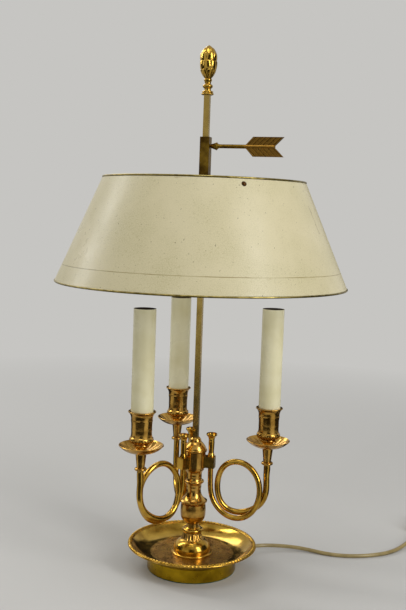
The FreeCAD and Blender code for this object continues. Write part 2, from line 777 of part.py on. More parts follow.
def biarc(start, tangent, end, end_tangent):
    """Two arcs that meet smoothly between two points with given directions."""
    way = end - start
    both = tangent + end_tangent
    spread = 2 * (1 - tangent.dot(end_tangent))
    middle = way.dot(both)
    reach = (math.sqrt(middle * middle + spread * way.dot(way)) - middle) / spread
    joint = (start + tangent * reach + end - end_tangent * reach) * 0.5
    second = tangent_arc(end, end_tangent * -1, joint)
    middle_point = second.valueAt((second.FirstParameter + second.LastParameter) / 2)
    return [tangent_arc(start, tangent, joint), Part.Arc(joint, middle_point, end).toShape()]


def rounded_runs(points, name):
    """Edges of a route whose corners are arcs of 0.45 of the shorter run beside them."""
    edges = []
    here = points[0]
    radii = []
    for before, corner, after in zip(points, points[1:], points[2:]):
        arrive = (corner - before).normalize()
        leave = (after - corner).normalize()
        turn = arrive.getAngle(leave)
        trim = 0.45 * min((corner - before).Length, (after - corner).Length)
        radii.append(trim / math.tan(turn / 2))
        enter = corner - arrive * trim
        exit_point = corner + leave * trim
        edges.append(Part.LineSegment(here, enter).toShape())
        edges.append(tangent_arc(enter, arrive, exit_point))
        here = exit_point
    edges.append(Part.LineSegment(here, points[-1]).toShape())
    print(name, "radii", " ".join("%.0f" % radius for radius in radii))
    return edges


def tube(edges, radius, name):
    """Round tube along a smooth chain of edges."""
    wire = Part.Wire(edges)
    first = edges[0]
    start = first.valueAt(first.FirstParameter)
    along = first.tangentAt(first.FirstParameter)
    ring = Part.Wire(Part.Circle(start, along, radius).toShape())
    solid = wire.makePipeShell([ring], True, False)
    wanted = math.pi * radius ** 2 * wire.Length
    print("%s length %.1f, volume %.0f of %.0f" % (name, wire.Length, solid.Volume, wanted))
    return solid


def compass(degrees):
    """Level unit vector."""
    angle = math.radians(degrees)
    return V(math.cos(angle), math.sin(angle), 0)


EXIT_WAY = compass(CORD_EXIT_ANGLE)
SWITCH_WAY = compass(SWITCH_ANGLE)
CORD_START = EXIT_WAY * (FOOT_R + RELIEF_L) + V(0, 0, CORD_EXIT_Z)
SWITCH_IN = V(330.0, 143.0, SWITCH_Z)
SWITCH_OUT = SWITCH_IN + SWITCH_WAY * SWITCH_L

# Route from the strain relief to the switch
CORD_ROUTE = [
    CORD_START,
    CORD_START + EXIT_WAY * 16.0,
    V(95.5, 64.0, 7.2),
    V(113.5, 67.0, 6.4),
    V(131.0, 67.6, 5.6),
    V(148.0, 65.5, 4.6),
    V(164.0, 60.6, 3.5),
    V(179.0, 54.0, 2.7),
    V(195.0, 49.2, 2.5),
    V(213.0, 47.6, 2.5),
    V(231.0, 49.6, 2.5),
    V(248.0, 54.2, 2.6),
    V(264.0, 61.4, 2.7),
    V(278.0, 71.4, 2.9),
    V(290.5, 84.0, 3.5),
    V(302.0, 98.5, 4.8),
    V(312.8, 113.4, 6.1),
    SWITCH_IN - SWITCH_WAY * 15.0,
    SWITCH_IN,
]


def make_strain_relief():
    """Tapered sleeve with a flange outside the foot and a stem through its wall."""
    wall = FOOT_R + SOLDER_GAP
    inner = FOOT_R - FOOT_WALL - 1.5
    end = FOOT_R + RELIEF_L
    outline = [
        (inner, 0), (inner, RELIEF_STEM_R), (wall, RELIEF_STEM_R), (wall, RELIEF_FLANGE_R),
        (wall + RELIEF_FLANGE_T, RELIEF_FLANGE_R), (wall + RELIEF_FLANGE_T, RELIEF_R0),
        (end, RELIEF_R1), (end, 0)]
    points = [V(x, 0, CORD_EXIT_Z + radius) for x, radius in outline]
    face = Part.Face(Part.makePolygon(points + [points[0]]))
    solid = face.revolve(V(0, 0, CORD_EXIT_Z), V(1, 0, 0), 360)
    return at_angle(solid, CORD_EXIT_ANGLE)


def make_cord_free():
    return tube(rounded_runs(CORD_ROUTE, "cord"), CORD_R, "cord")


COIL_OUTER_R = COIL_INNER_R + COIL_PITCH * COIL_TURNS_IN
COIL_Z = CORD_R
COIL_SIDE = compass(SWITCH_ANGLE - 90)
COIL_CENTRE = SWITCH_OUT + SWITCH_WAY * COIL_LEAD + COIL_SIDE * COIL_OUTER_R + V(0, 0, COIL_Z - SWITCH_Z)


def coil_stations():
    """Stations (half turns, radius, level, slope): spiral in, climb at the middle, spiral out."""
    halves = int(2 * COIL_TURNS_IN)
    stations = []
    for half in range(halves + 1):
        stations.append((half, COIL_OUTER_R - COIL_PITCH * half / 2, COIL_Z, 0.0))
    climb_slope = 1.5 * COIL_LAYER / (math.pi * COIL_INNER_R)
    stations.append((halves + 0.5, COIL_INNER_R - COIL_CLIMB_IN, COIL_Z + COIL_LAYER / 2, climb_slope))
    for half in range(halves + 1):
        stations.append(
            (halves + 1 + half, COIL_INNER_R + COIL_PITCH * half / 2, COIL_Z + COIL_LAYER, 0.0))
    return stations


def coil_edges():
    """Edges of the coil's turns, and the point and direction at their end."""
    middle = V(COIL_CENTRE.x, COIL_CENTRE.y, 0)
    ends = []
    for number, radius, level, slope in coil_stations():
        degrees = SWITCH_ANGLE + 90 - 180 * number
        way = (compass(degrees - 90) + UP * slope).normalize()
        ends.append((middle + compass(degrees) * radius + UP * level, way))
    edges = []
    for (start, way), (end, end_way) in zip(ends, ends[1:]):
        edges += biarc(start, way, end, end_way)
    return edges, ends[-1]


def make_cord_coil():
    """Coil of the spare length, from the switch to the plug."""
    turns, (last, way) = coil_edges()
    first = turns[0].valueAt(turns[0].FirstParameter)
    lead_in = [
        SWITCH_OUT, SWITCH_OUT + SWITCH_WAY * 11.0,
        V(0, 0, COIL_Z) + V(SWITCH_OUT.x, SWITCH_OUT.y, 0) + SWITCH_WAY * 27.0, first]
    edges = rounded_runs(lead_in, "coil lead")
    edges += turns
    edges.append(Part.LineSegment(last, last + way * PLUG_LEAD).toShape())
    wire = Part.Wire(edges)
    print("coil self gap %.2f" % coil_gap(wire))
    return tube(edges, CORD_R, "coil")


def coil_gap(wire):
    count = int(wire.Length / 2.5)
    points = wire.discretize(Number=count)
    least = 1e9
    for first in range(count):
        for second in range(first + 10, count):
            least = min(least, points[first].distanceToPoint(points[second]))
    return least - 2 * CORD_R


# Switch on the cord

def switch_block(width, low, high, shrink=0.0):
    """Rounded body along X from 0 to the switch's length."""
    round_r = width / 3 - shrink
    body = Part.makeBox(SWITCH_L - 2 * shrink, width - 2 * shrink, high - low,
                        V(shrink, -width / 2 + shrink, low))
    upright = [edge for edge in body.Edges if abs(edge.tangentAt(edge.FirstParameter).z) > 0.9]
    return body.makeFillet(round_r, upright)


def to_switch(shape):
    placed = shape.copy()
    placed.rotate(V(0, 0, 0), UP, SWITCH_ANGLE)
    placed.translate(V(SWITCH_IN.x, SWITCH_IN.y, 0))
    return placed


def rocker_window():
    length = ROCKER_L + 2 * ROCKER_END_GAP
    width = ROCKER_W + 2 * ROCKER_SIDE_GAP
    return Part.makeBox(length, width, SWITCH_H, V(SWITCH_L / 2 - length / 2, -width / 2, SWITCH_SPLIT_Z))


def make_switch_base():
    return to_switch(switch_block(SWITCH_W, 0.0, SWITCH_SPLIT_Z))


def make_switch_cover():
    body = switch_block(SWITCH_W, SWITCH_SPLIT_Z, SWITCH_H)
    rim = [edge for edge in body.Edges if edge.BoundBox.ZMin > SWITCH_H - 0.01]
    body = body.makeFillet(1.8, rim)
    return to_switch(body.cut(rocker_window()))


def make_switch_rocker():
    """Rocker with two sloping pads, tilted about its pivot so that the far end stands up."""
    half = ROCKER_L / 2
    high = ROCKER_END_H
    outline = [
        (-half, 0.0), (-2.0, -2.0), (2.0, -2.0), (half, 0.0), (half, high - 0.4), (half - 0.8, high),
        (0.0, high - 1.2), (-half + 0.8, high), (-half, high - 0.4)]
    corners = [V(x, -ROCKER_W / 2, z) for x, z in outline]
    body = Part.Face(Part.makePolygon(corners + [corners[0]])).extrude(V(0, ROCKER_W, 0))
    body.rotate(V(0, 0, 0), V(0, 1, 0), -ROCKER_TILT)
    body.translate(V(SWITCH_L / 2, 0, ROCKER_PIVOT_Z))
    return to_switch(body)


# Plug with two round pins

PLUG_START, PLUG_WAY = coil_edges()[1]


def to_plug(shape):
    """Move a shape made along +X to the end of the coil's last lead."""
    placed = shape.copy()
    placed.rotate(V(0, 0, 0), UP, SWITCH_ANGLE + 180)
    placed.translate(PLUG_START + PLUG_WAY * PLUG_LEAD)
    return placed


def make_plug_body():
    """Flat body that narrows to the cord."""
    neck = CORD_R + 2.2

    def section(x, width, height):
        corners = [V(x, -width / 2, -height / 2), V(x, width / 2, -height / 2),
                   V(x, width / 2, height / 2), V(x, -width / 2, height / 2)]
        return Part.makePolygon(corners + [corners[0]])

    tail = Part.makeLoft([section(0, 2 * neck, 2 * neck), section(16, PLUG_W - 6, PLUG_T)], True, True)
    body = Part.makeBox(PLUG_L - 16, PLUG_W, PLUG_T, V(16, -PLUG_W / 2, -PLUG_T / 2))
    shape = tail.fuse(body)
    for side in (1, -1):
        hole = Part.makeCylinder(PIN_R + SOLDER_GAP, 8.0, V(PLUG_L - 8, side * PIN_GAP / 2, 0), V(1, 0, 0))
        shape = shape.cut(hole)
    return to_plug(shape)


def make_plug_pins():
    pins = []
    for side in (1, -1):
        shank = Part.makeCylinder(
            PIN_R, PIN_L + 6.0, V(PLUG_L - 7, side * PIN_GAP / 2, 0), V(1, 0, 0))
        tip = Part.makeSphere(PIN_R, V(PLUG_L - 1 + PIN_L, side * PIN_GAP / 2, 0))
        pins.append(shank.fuse(tip).removeSplitter())
    return to_plug(Part.makeCompound(pins))


NODES = {
    "base_felt": make_felt,
    "foot_ring": make_foot_ring,
    "dish": make_dish,
    "rim_moulding": make_rim_moulding,
    "base_weight": make_base_weight,
    "tie_nut": make_tie_nut,
    "tie_tube": make_tie_tube,
    "dome_collar": make_collar,
    "urn": make_urn,
    "column_shaft": make_shaft,
    "hub_drum": make_hub,
    "hub_cap": make_cap,
    "square_rod": make_rod,
    "finial": make_finial,
    "shade_shell": make_shade_shell,
    "spider": make_spider,
    "spider_screws": make_spider_screws,
    "sleeve": make_sleeve,
    "arrow_key": make_arrow_key,
    "strain_relief": make_strain_relief,
    "cord_free": make_cord_free,
    "cord_coil": make_cord_coil,
    "switch_base": make_switch_base,
    "switch_cover": make_switch_cover,
    "switch_rocker": make_switch_rocker,
    "plug_body": make_plug_body,
    "plug_pins": make_plug_pins,
}

ARM_NODES = {
    "arm_block": make_block,
    "mouthpiece": make_mouthpiece,
    "horn": make_horn,
    "candle_stem": make_stem,
    "drip_pan": make_pan,
    "candle_cup": make_cup,
    "candle_tube": make_candle_tube,
    "holder_nipple": make_nipple,
    "lampholder": make_lampholder,
}

ARM_NAMES = ["right", "left", "back"]


def all_shapes():
    """Every sub-part by its name."""
    shapes = {}
    for node, make in NODES.items():
        shapes[node] = make()
    shapes["shade_wire_top"] = make_wire(SHADE_TOP_R, SHADE_TOP_Z, -1)
    shapes["shade_wire_bottom"] = make_wire(SHADE_LOW_R, SHADE_LOW_Z, 1)
    for node, make in ARM_NODES.items():
        pattern = make()
        for name, angle in zip(ARM_NAMES, ARM_ANGLES):
            shapes[node + "_" + name] = at_angle(pattern, angle)
    return shapes


def main():
    os.makedirs("parts", exist_ok=True)
    facets = 0
    for node, shape in all_shapes().items():
        shape.exportStep("parts/" + node + ".step")
        count = len(shape.tessellate(0.4)[1])
        facets += count
        print("%-22s solids %d valid %s facets %d volume %.0f" % (
            node, len(shape.Solids), shape.isValid(), count, shape.Volume))
    print("facets in all", facets)


main()
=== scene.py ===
import math

import bmesh
import bpy
from mathutils import Matrix, Vector


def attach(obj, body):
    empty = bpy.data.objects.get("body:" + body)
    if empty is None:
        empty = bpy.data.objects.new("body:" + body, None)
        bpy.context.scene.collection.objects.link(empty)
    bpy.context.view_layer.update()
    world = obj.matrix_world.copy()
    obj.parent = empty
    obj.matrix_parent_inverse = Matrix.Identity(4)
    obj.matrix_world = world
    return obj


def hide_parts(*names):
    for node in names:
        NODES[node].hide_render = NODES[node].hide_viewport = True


bl_info = {
    "name": "Bouillotte lamp",
    "version": (1, 0, 0),
    "blender": (4, 5, 0),
    "location": "3D View > Sidebar > Lamp",
    "description": "Dresses the lamp with gilt brass, painted sheet, a cord and carved trim",
    "category": "Object",
}

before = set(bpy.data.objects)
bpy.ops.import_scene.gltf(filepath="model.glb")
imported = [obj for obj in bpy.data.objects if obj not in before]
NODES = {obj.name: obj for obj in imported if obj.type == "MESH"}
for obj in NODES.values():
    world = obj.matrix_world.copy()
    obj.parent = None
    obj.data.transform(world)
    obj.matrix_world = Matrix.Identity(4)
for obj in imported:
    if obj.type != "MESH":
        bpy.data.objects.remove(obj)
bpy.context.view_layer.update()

LAMP = "lamp"
# Each arm and its bearing in degrees, from the right of the lamp towards the back.
ARMS = {"right": -14.0, "left": -134.0, "back": 106.0}
MM = 0.001


def heading(bearing):
    """Level unit vector at a bearing in degrees."""
    angle = math.radians(bearing)
    return Vector((math.cos(angle), math.sin(angle), 0.0))


# Sizes of the solids that the dressing meets, in mm.
FOOT_R = 57.0
DISH_SEAT_Z = 17.5
DISH_FLOOR_Z = 20.0
DISH_FLOOR_R = 53.0
DISH_LIP_R = 77.0
CANDLE_RING_R = 93.5
CANDLE_R = 13.5
PAN_LOW_Z = 166.5
CUP_LOW_Z = 167.9
FINIAL_Z = 600.0

# Sizes of the dressing, in mm, and how many steps the dish has round it.
DISH_STEPS = 256
DISH_HOLE_R = 9.0
DISH_TURN_R = 79.0
DISH_EDGE_R = 82.4
DISH_LIP_Z = 31.4
ROPE_RING_R = 80.1
ROPE_R = 2.35
ROPE_DEPTH = 1.1
COLLAR_LOW_Z = 36.4
COLLAR_HIGH_Z = 46.8
# A face of a candle tube nearer the tube's axis than this is inside the tube.
CANDLE_INSIDE_R = CANDLE_R - 0.4

# How many leaves, flutes, gadroons and scales the carving has round the piece.
LEAVES = 14
FLUTES = 24
GADROONS = 18
SCALES = 7
SCALE_ROWS = 4.5

# Wear of the dish's floor, in mm: where it ends, how ragged its edge is, how deep its pits are.
WEAR_FROM = DISH_FLOOR_R + 1.0
WEAR_TO = DISH_FLOOR_R + 5.0
WEAR_RAGGED = 6.0
WEAR_DEPTH = 0.08

# Long scratch in the shade's paint: bearing and height of its middle, half of its height in
# metres, how it leans in radians per metre, and its wander and half width in radians.
SCRATCH_BEARING = math.radians(-26.0)
SCRATCH_Z = 0.452
SCRATCH_HALF = 0.016
SCRATCH_LEAN = 0.8
SCRATCH_WANDER = 0.05
SCRATCH_WIDTH = 0.0035

# Arrow key: the way it points; then in mm the height of its axis, where its feathers start,
# half of the bare spine, from barb to barb and the depth of the line between; then the share
# of the pitch that the line takes, and how far the barbs lean back.
KEY_WAY = heading(-15.0)
KEY_Z = 538.0
VANE_START = 48.8
SPINE_HALF = 2.4
BARB_PITCH = 3.1667
BARB_DEPTH = 0.4
BARB_LINE = 0.22
BARB_SLOPE = 1.054

# The cord's route from the strain relief to the switch, in metres.
CORD_EXIT = Vector((0.0663513, 0.0464597, 0.008))
EXIT_WAY = heading(35.0)
SWITCH_IN = Vector((0.330, 0.143, 0.0065))
SWITCH_BEARING = 64.0
SWITCH_WAY = heading(SWITCH_BEARING)
SWITCH_LENGTH = 0.062
ROUTE = [
    CORD_EXIT,
    CORD_EXIT + EXIT_WAY * 0.016,
    Vector((0.0955, 0.0640, 0.0072)),
    Vector((0.1135, 0.0670, 0.0064)),
    Vector((0.1310, 0.0676, 0.0056)),
    Vector((0.1480, 0.0655, 0.0046)),
    Vector((0.1640, 0.0606, 0.0035)),
    Vector((0.1790, 0.0540, 0.0027)),
    Vector((0.1950, 0.0492, 0.0025)),
    Vector((0.2130, 0.0476, 0.0025)),
    Vector((0.2310, 0.0496, 0.0025)),
    Vector((0.2480, 0.0542, 0.0026)),
    Vector((0.2640, 0.0614, 0.0027)),
    Vector((0.2780, 0.0714, 0.0029)),
    Vector((0.2905, 0.0840, 0.0035)),
    Vector((0.3020, 0.0985, 0.0048)),
    Vector((0.3128, 0.1134, 0.0061)),
    SWITCH_IN - SWITCH_WAY * 0.015,
    SWITCH_IN,
]
# Put-away coil: turns on the floor before it climbs, points in a turn, how far from the
# switch its middle stands, and how far the turn that climbs is drawn in, in metres.
COIL_TURNS = 3.5
COIL_STEPS = 16
COIL_AWAY = 0.040
COIL_DRAWN_IN = 0.0012

# Soft boxes: name, place, width, height and watts.
LIGHTS = [
    ("key", (1.25, -1.15, 1.05), 0.55, 1.2, 16.5),
    ("second", (-1.30, 0.40, 1.30), 0.25, 1.3, 9.0),
    ("back", (-0.6, 1.5, 1.3), 1.0, 0.5, 5.0),
    ("top", (-0.1, -0.6, 1.9), 0.8, 0.8, 7.0),
]
LIGHT_AIM = Vector((0.0, 0.0, 0.25))
# Upright dark cards: name, place, width and height.
CARDS = [
    ("card_front", (0.0, -2.3, 0.75), 1.5, 1.7),
    ("card_right", (2.1, 0.0, 0.75), 1.9, 1.7),
    ("card_left", (-2.1, 0.0, 0.75), 1.9, 1.7),
    ("card_back", (0.3, 2.3, 0.75), 1.7, 1.7),
]
# Dark sectors just over the floor: first and last bearing of each in degrees, their inner and
# outer radius, their height and their steps. Between them the metal shows bright streaks.
SECTORS = ((-155.0, -66.0), (-22.0, 62.0), (84.0, 160.0))
SECTOR_REACH = (0.26, 1.5)
SECTOR_Z = 0.004
SECTOR_STEPS = 24
# Where the floor starts to fade into the background, and where it has faded.
FADE = (0.45, 1.7)

# Camera as fitted to the photograph: its sensor in mm, the lens and the picture's height in
# pixels, its place, and its tilt down, turn to the right and roll in degrees.
SENSOR = 36.0
FOCAL_PIXELS = 900.0
PICTURE_PIXELS = 610.0
CAMERA_PLACE = (0.0, -1.126, 0.455)
CAMERA_TURN = (5.8, 0.18, 2.0)


# Colours and materials

def linear(code):
    """Linear red, green, blue and alpha of an sRGB hex colour."""
    parts = []
    for start in (1, 3, 5):
        value = int(code[start:start + 2], 16) / 255
        parts.append(value / 12.92 if value <= 0.04045 else ((value + 0.055) / 1.055) ** 2.4)
    return (*parts, 1.0)


def per_mm(size):
    """Texture scale that gives a pattern of this size in millimetres."""
    return 1000.0 / size


def add(tree, kind, inputs=None, **settings):
    """Add a node with its properties, and its inputs as values, sockets or nodes to link from.

    A node stands for its first output.
    """
    node = tree.nodes.new("ShaderNode" + kind)
    for name, value in settings.items():
        setattr(node, name, value)
    for socket, value in (inputs or {}).items():
        if isinstance(value, bpy.types.Node):
            value = value.outputs[0]
        if isinstance(value, bpy.types.NodeSocket):
            tree.links.new(value, node.inputs[socket])
        else:
            node.inputs[socket].default_value = value
    return node


def new_material(name):
    """Empty material with a Principled shader, and its tree and shader."""
    material = bpy.data.materials.new(name)
    material.use_nodes = True
    tree = material.node_tree
    tree.nodes.clear()
    shader = add(tree, "BsdfPrincipled")
    add(tree, "OutputMaterial", {"Surface": shader})
    return material, tree, shader


def stain(tree, shader, where, code):
    """Lay a colour over the shader's own, as far as where goes from 0 to 1."""
    base = shader.inputs["Base Color"]
    under = base.links[0].from_socket if base.is_linked else tuple(base.default_value)
    over = add(tree, "Mix", {0: where, 6: under, 7: linear(code)}, data_type="RGBA")
    tree.links.new(over.outputs[2], base)


def emboss(tree, shader, height, depth, strength):
    """Raise the shader's surface by height times depth in mm, on top of what it has."""
    normal = shader.inputs["Normal"]
    inputs = {"Height": height, "Distance": depth * MM, "Strength": strength}
    if normal.is_linked:
        inputs["Normal"] = normal.links[0].from_socket
    tree.links.new(add(tree, "Bump", inputs).outputs[0], normal)


# How each metal finish looks: light and dark tone, least and most roughness, size of its
# mottling in mm, how its tool marks run, their spacing in mm, and their depth in mm. Marks run
# in RINGS from the axis outwards, ROUND the axis one above the other, or UP.
METALS = {
    # Cast brass, polished and lacquered: deep yellow, with a soft cloudiness in the lacquer.
    "polished_gilt_brass": ("#D6AB4A", "#A27B28", 0.13, 0.24, 16.0, "ROUND", 3.0, 0.004),
    # Spun brass sheet: yellow walls with rings from the spinning tool. Real rings are about
    # 1 mm apart and too fine to show, so they are drawn 8 mm apart.
    "spun_gilt_brass": ("#D0AA4C", "#9A7628", 0.11, 0.24, 26.0, "RINGS", 8.168, 0.010),
    # Rolled brass strip of the foot: more olive, satin.
    "rolled_olive_brass": ("#C09C1E", "#86680E", 0.26, 0.40, 22.0, "ROUND", 3.0, 0.004),
    # Turned brass of the column with a copper rich gilding: rosier.
    "turned_rose_gilt": ("#D2A550", "#98702E", 0.15, 0.27, 12.0, "ROUND", 3.0, 0.004),
    # Drawn brass bar: pale, with draw lines along it.
    "drawn_brass_bar": ("#BFA55E", "#9C803C", 0.20, 0.30, 30.0, "UP", 3.0, 0.003),
    # Old brass with thin lacquer: brown in the dull places.
    "aged_brass": ("#846824", "#4A3510", 0.24, 0.40, 14.0, "UP", 3.0, 0.004),
    # Brass wire, dull gold.
    "drawn_brass_wire": ("#A39357", "#6F6130", 0.28, 0.40, 8.0, "ROUND", 0.6, 0.006),
    # Dark brown brass of the bed under the rope edge, showing in the hollows between its
    # strands.
    "patinated_recess": ("#5E4318", "#36240C", 0.45, 0.60, 3.0, "ROUND", 0.8, 0.010),
    # Blackened brass of the small screws.
    "blackened_brass": ("#5A3C1E", "#2E1C0E", 0.35, 0.50, 2.0, "ROUND", 0.5, 0.006),
    # Zinc plated steel: grey with a slight bloom.
    "zinc_plated_steel": ("#B9BBBD", "#8B8E92", 0.25, 0.40, 6.0, "ROUND", 0.8, 0.008),
    # Nickel plated brass pins.
    "nickel_plate": ("#D4D0C6", "#A9A69C", 0.15, 0.26, 8.0, "UP", 0.6, 0.004),
    # Grey cast iron, rough from the sand mould.
    "sand_cast_iron": ("#4B4B4D", "#2C2C2E", 0.55, 0.75, 5.0, "ROUND", 2.0, 0.150),
}
# Marks other than rings are noise that keeps this share of its detail along the mark.
DRAWN = 0.02


def metal_nodes(name, look):
    """Metal with clouded colour, uneven polish and tool marks, and its tree and shader."""
    light, dark, least, most, cloud, marks, spacing, depth = METALS[look]
    material, tree, shader = new_material(name)
    shader.inputs["Metallic"].default_value = 1.0
    shader.inputs["Base Color"].default_value = linear(light)
    place = add(tree, "TexCoord").outputs["Object"]
    clouds = add(tree, "TexNoise", {"Vector": place, "Scale": per_mm(cloud), "Detail": 4.0})
    stain(tree, shader, add(tree, "MapRange", {0: clouds, 1: 0.38, 2: 0.68}), dark)
    inputs = {"Vector": place, "Scale": per_mm(cloud * 0.35), "Detail": 6.0}
    smears = add(tree, "TexNoise", inputs)
    polish = add(tree, "MapRange", {0: smears, 1: 0.35, 2: 0.65, 3: least, 4: most})
    tree.links.new(polish.outputs[0], shader.inputs["Roughness"])
    if marks == "RINGS":
        # At a scale of 1 a wave texture's rings are tau / 20 apart.
        scale = per_mm(spacing) * math.tau / 20
        inputs = {"Vector": place, "Scale": scale, "Distortion": 1.0, "Detail": 2.0}
        lines = add(tree, "TexWave", inputs, wave_type="RINGS", rings_direction="Z")
    else:
        squeeze = (1.0, 1.0, DRAWN) if marks == "UP" else (DRAWN, DRAWN, 1.0)
        drawn = add(tree, "VectorMath", {0: place, 1: squeeze}, operation="MULTIPLY")
        inputs = {"Vector": drawn, "Scale": per_mm(spacing), "Detail": 3.0}
        lines = add(tree, "TexNoise", inputs)
    emboss(tree, shader, lines, depth, 0.35)
    return material, tree, shader


def metal(name):
    """The metal of this name."""
    return metal_nodes(name, name)[0]


def painted_tole(settings):
    """Satin oil paint on old sheet metal: crackle, specks, rubs, a ruled line and a scratch."""
    material, tree, shader = new_material("painted_tole_satin_crackled")
    shader.inputs["Base Color"].default_value = settings.paint
    place = add(tree, "TexCoord").outputs["Object"]
    apart = add(tree, "SeparateXYZ", {0: place}).outputs
    # Age makes the cream cloudy.
    clouds = add(tree, "TexNoise", {"Vector": place, "Scale": per_mm(60.0), "Detail": 5.0})
    stain(tree, shader, add(tree, "MapRange", {0: clouds, 1: 0.35, 2: 0.7}), "#C8BF98")
    # Crackle about 2 mm from line to line, faint, bent by up to 4 mm.
    wander = add(tree, "TexNoise", {"Vector": place, "Scale": per_mm(9.0), "Detail": 3.0})
    inputs = {0: wander.outputs[1], 1: (4.0 * MM, 4.0 * MM, 4.0 * MM), 2: place}
    bent = add(tree, "VectorMath", inputs, operation="MULTIPLY_ADD")
    inputs = {"Vector": bent, "Scale": per_mm(2.2)}
    cracks = add(tree, "TexVoronoi", inputs, feature="DISTANCE_TO_EDGE")
    crack = add(tree, "MapRange", {0: cracks, 1: 0.0, 2: 0.08, 3: 1.0, 4: 0.0})
    patch = add(tree, "MapRange", {0: clouds, 1: 0.40, 2: 0.62, 3: 0.20, 4: 0.60})
    faint = add(tree, "Math", {0: crack, 1: patch}, operation="MULTIPLY")
    stain(tree, shader, faint, "#A59B70")
    # Dark specks under a millimetre, and a few wider rubs.
    grit = add(tree, "TexNoise", {"Vector": place, "Scale": per_mm(2.6), "Detail": 2.0})
    speck = add(tree, "MapRange", {0: grit, 1: 0.715, 2: 0.745, 4: 0.8})
    stain(tree, shader, speck, "#62543A")
    wide = add(tree, "VectorMath", {0: place, 1: (0.25, 0.25, 1.0)}, operation="MULTIPLY")
    rubs = add(tree, "TexNoise", {"Vector": wide, "Scale": per_mm(7.0), "Detail": 5.0})
    stain(tree, shader, add(tree, "MapRange", {0: rubs, 1: 0.71, 2: 0.77, 4: 0.5}), "#8F7B48")
    # Ruled line above the lower edge, a little unsteady and worn in places.
    inputs = {0: wander, 1: 0.4 * MM, 2: apart[2]}
    shaken = add(tree, "Math", inputs, operation="MULTIPLY_ADD")
    inputs = {0: shaken, 1: settings.line_height, 2: settings.line_width / 2}
    on_line = add(tree, "Math", inputs, operation="COMPARE")
    worn = add(tree, "MapRange", {0: rubs, 1: 0.40, 2: 0.60, 3: 0.85, 4: 0.35})
    line = add(tree, "Math", {0: on_line, 1: worn}, operation="MULTIPLY")
    stain(tree, shader, line, "#8A7A48")
    # One long scratch at the right, almost down to the dark ground.
    bearing = add(tree, "Math", {0: apart[1], 1: apart[0]}, operation="ARCTAN2")
    inputs = {0: wander, 1: SCRATCH_WANDER, 2: bearing}
    drift = add(tree, "Math", inputs, operation="MULTIPLY_ADD")
    inputs = {0: apart[2], 1: SCRATCH_LEAN, 2: drift}
    drift = add(tree, "Math", inputs, operation="MULTIPLY_ADD")
    middle = SCRATCH_BEARING + SCRATCH_LEAN * SCRATCH_Z + SCRATCH_WANDER * 0.5
    on_scratch = add(tree, "Math", {0: drift, 1: middle, 2: SCRATCH_WIDTH}, operation="COMPARE")
    inputs = {0: apart[2], 1: SCRATCH_Z, 2: SCRATCH_HALF}
    on_height = add(tree, "Math", inputs, operation="COMPARE")
    scratch = add(tree, "Math", {0: on_scratch, 1: on_height}, operation="MULTIPLY")
    scratch = add(tree, "Math", {0: scratch, 1: 0.7}, operation="MULTIPLY")
    stain(tree, shader, scratch, "#5E4A2A")
    # The inside is painted white: there the wall faces the axis.
    flat = add(tree, "VectorMath", {0: place, 1: (1.0, 1.0, 0.0)}, operation="MULTIPLY")
    inputs = {0: flat, 1: add(tree, "NewGeometry").outputs["Normal"]}
    faces_out = add(tree, "VectorMath", inputs, operation="DOT_PRODUCT").outputs["Value"]
    inside = add(tree, "Math", {0: faces_out, 1: 0.0}, operation="LESS_THAN")
    stain(tree, shader, inside, "#EDEBE2")
    gloss = add(tree, "MapRange", {0: clouds, 1: 0.35, 2: 0.65, 3: 0.27, 4: 0.36})
    tree.links.new(gloss.outputs[0], shader.inputs["Roughness"])
    # Brush marks stand up and the crackle is sunk.
    brush = add(tree, "TexNoise", {"Vector": place, "Scale": per_mm(1.6), "Detail": 3.0})
    height = add(tree, "Math", {0: crack, 1: -0.6, 2: brush}, operation="MULTIPLY_ADD")
    emboss(tree, shader, height, 0.11, 0.6)
    return material


# Moulded and other plain finishes: light and dark tone, roughness, mottling in mm, grain in mm
# and its depth in mm.
PLAINS = {
    # Extruded card or plastic sleeve, cream and waxy, as candle covers are.
    "moulded_candle_cream": ("#E9E3C0", "#DCD4A8", 0.30, 30.0, 1.2, 0.030),
    # Dark brown of the inner walls of the candle covers.
    "raw_card_inside": ("#3A2C1C", "#241A10", 0.85, 6.0, 0.8, 0.040),
    # Phenolic resin of the lampholders: near black, moulded.
    "moulded_phenolic": ("#1B1A19", "#0E0D0C", 0.38, 8.0, 0.8, 0.020),
    # Soft vinyl of the cord, gold beige.
    "extruded_vinyl": ("#A08E5E", "#877648", 0.34, 14.0, 0.7, 0.020),
    # Urea plastic of the switch and plug, ivory.
    "moulded_urea_ivory": ("#DCD0A8", "#CDBE90", 0.32, 12.0, 0.9, 0.015),
    # Paler urea of the rocker.
    "moulded_urea_white": ("#EFEBDD", "#E2DCC8", 0.28, 9.0, 0.9, 0.012),
    # Pressed wool felt under the foot: short fibres about 1 mm long.
    "pressed_green_felt": ("#2F5C3A", "#1E4028", 0.95, 4.0, 0.8, 0.200),
}


def plain(name):
    """Smooth non-metal with a slight change of tone and the grain of its mould."""
    light, dark, rough, cloud, grain, depth = PLAINS[name]
    material, tree, shader = new_material(name)
    shader.inputs["Base Color"].default_value = linear(light)
    place = add(tree, "TexCoord").outputs["Object"]
    clouds = add(tree, "TexNoise", {"Vector": place, "Scale": per_mm(cloud), "Detail": 4.0})
    stain(tree, shader, add(tree, "MapRange", {0: clouds, 1: 0.35, 2: 0.70}), dark)
    sheen = add(tree, "MapRange", {0: clouds, 1: 0.3, 2: 0.7, 3: rough * 0.85, 4: rough * 1.15})
    tree.links.new(sheen.outputs[0], shader.inputs["Roughness"])
    grains = add(tree, "TexNoise", {"Vector": place, "Scale": per_mm(grain), "Detail": 2.0})
    emboss(tree, shader, grains, depth, 0.5)
    return material


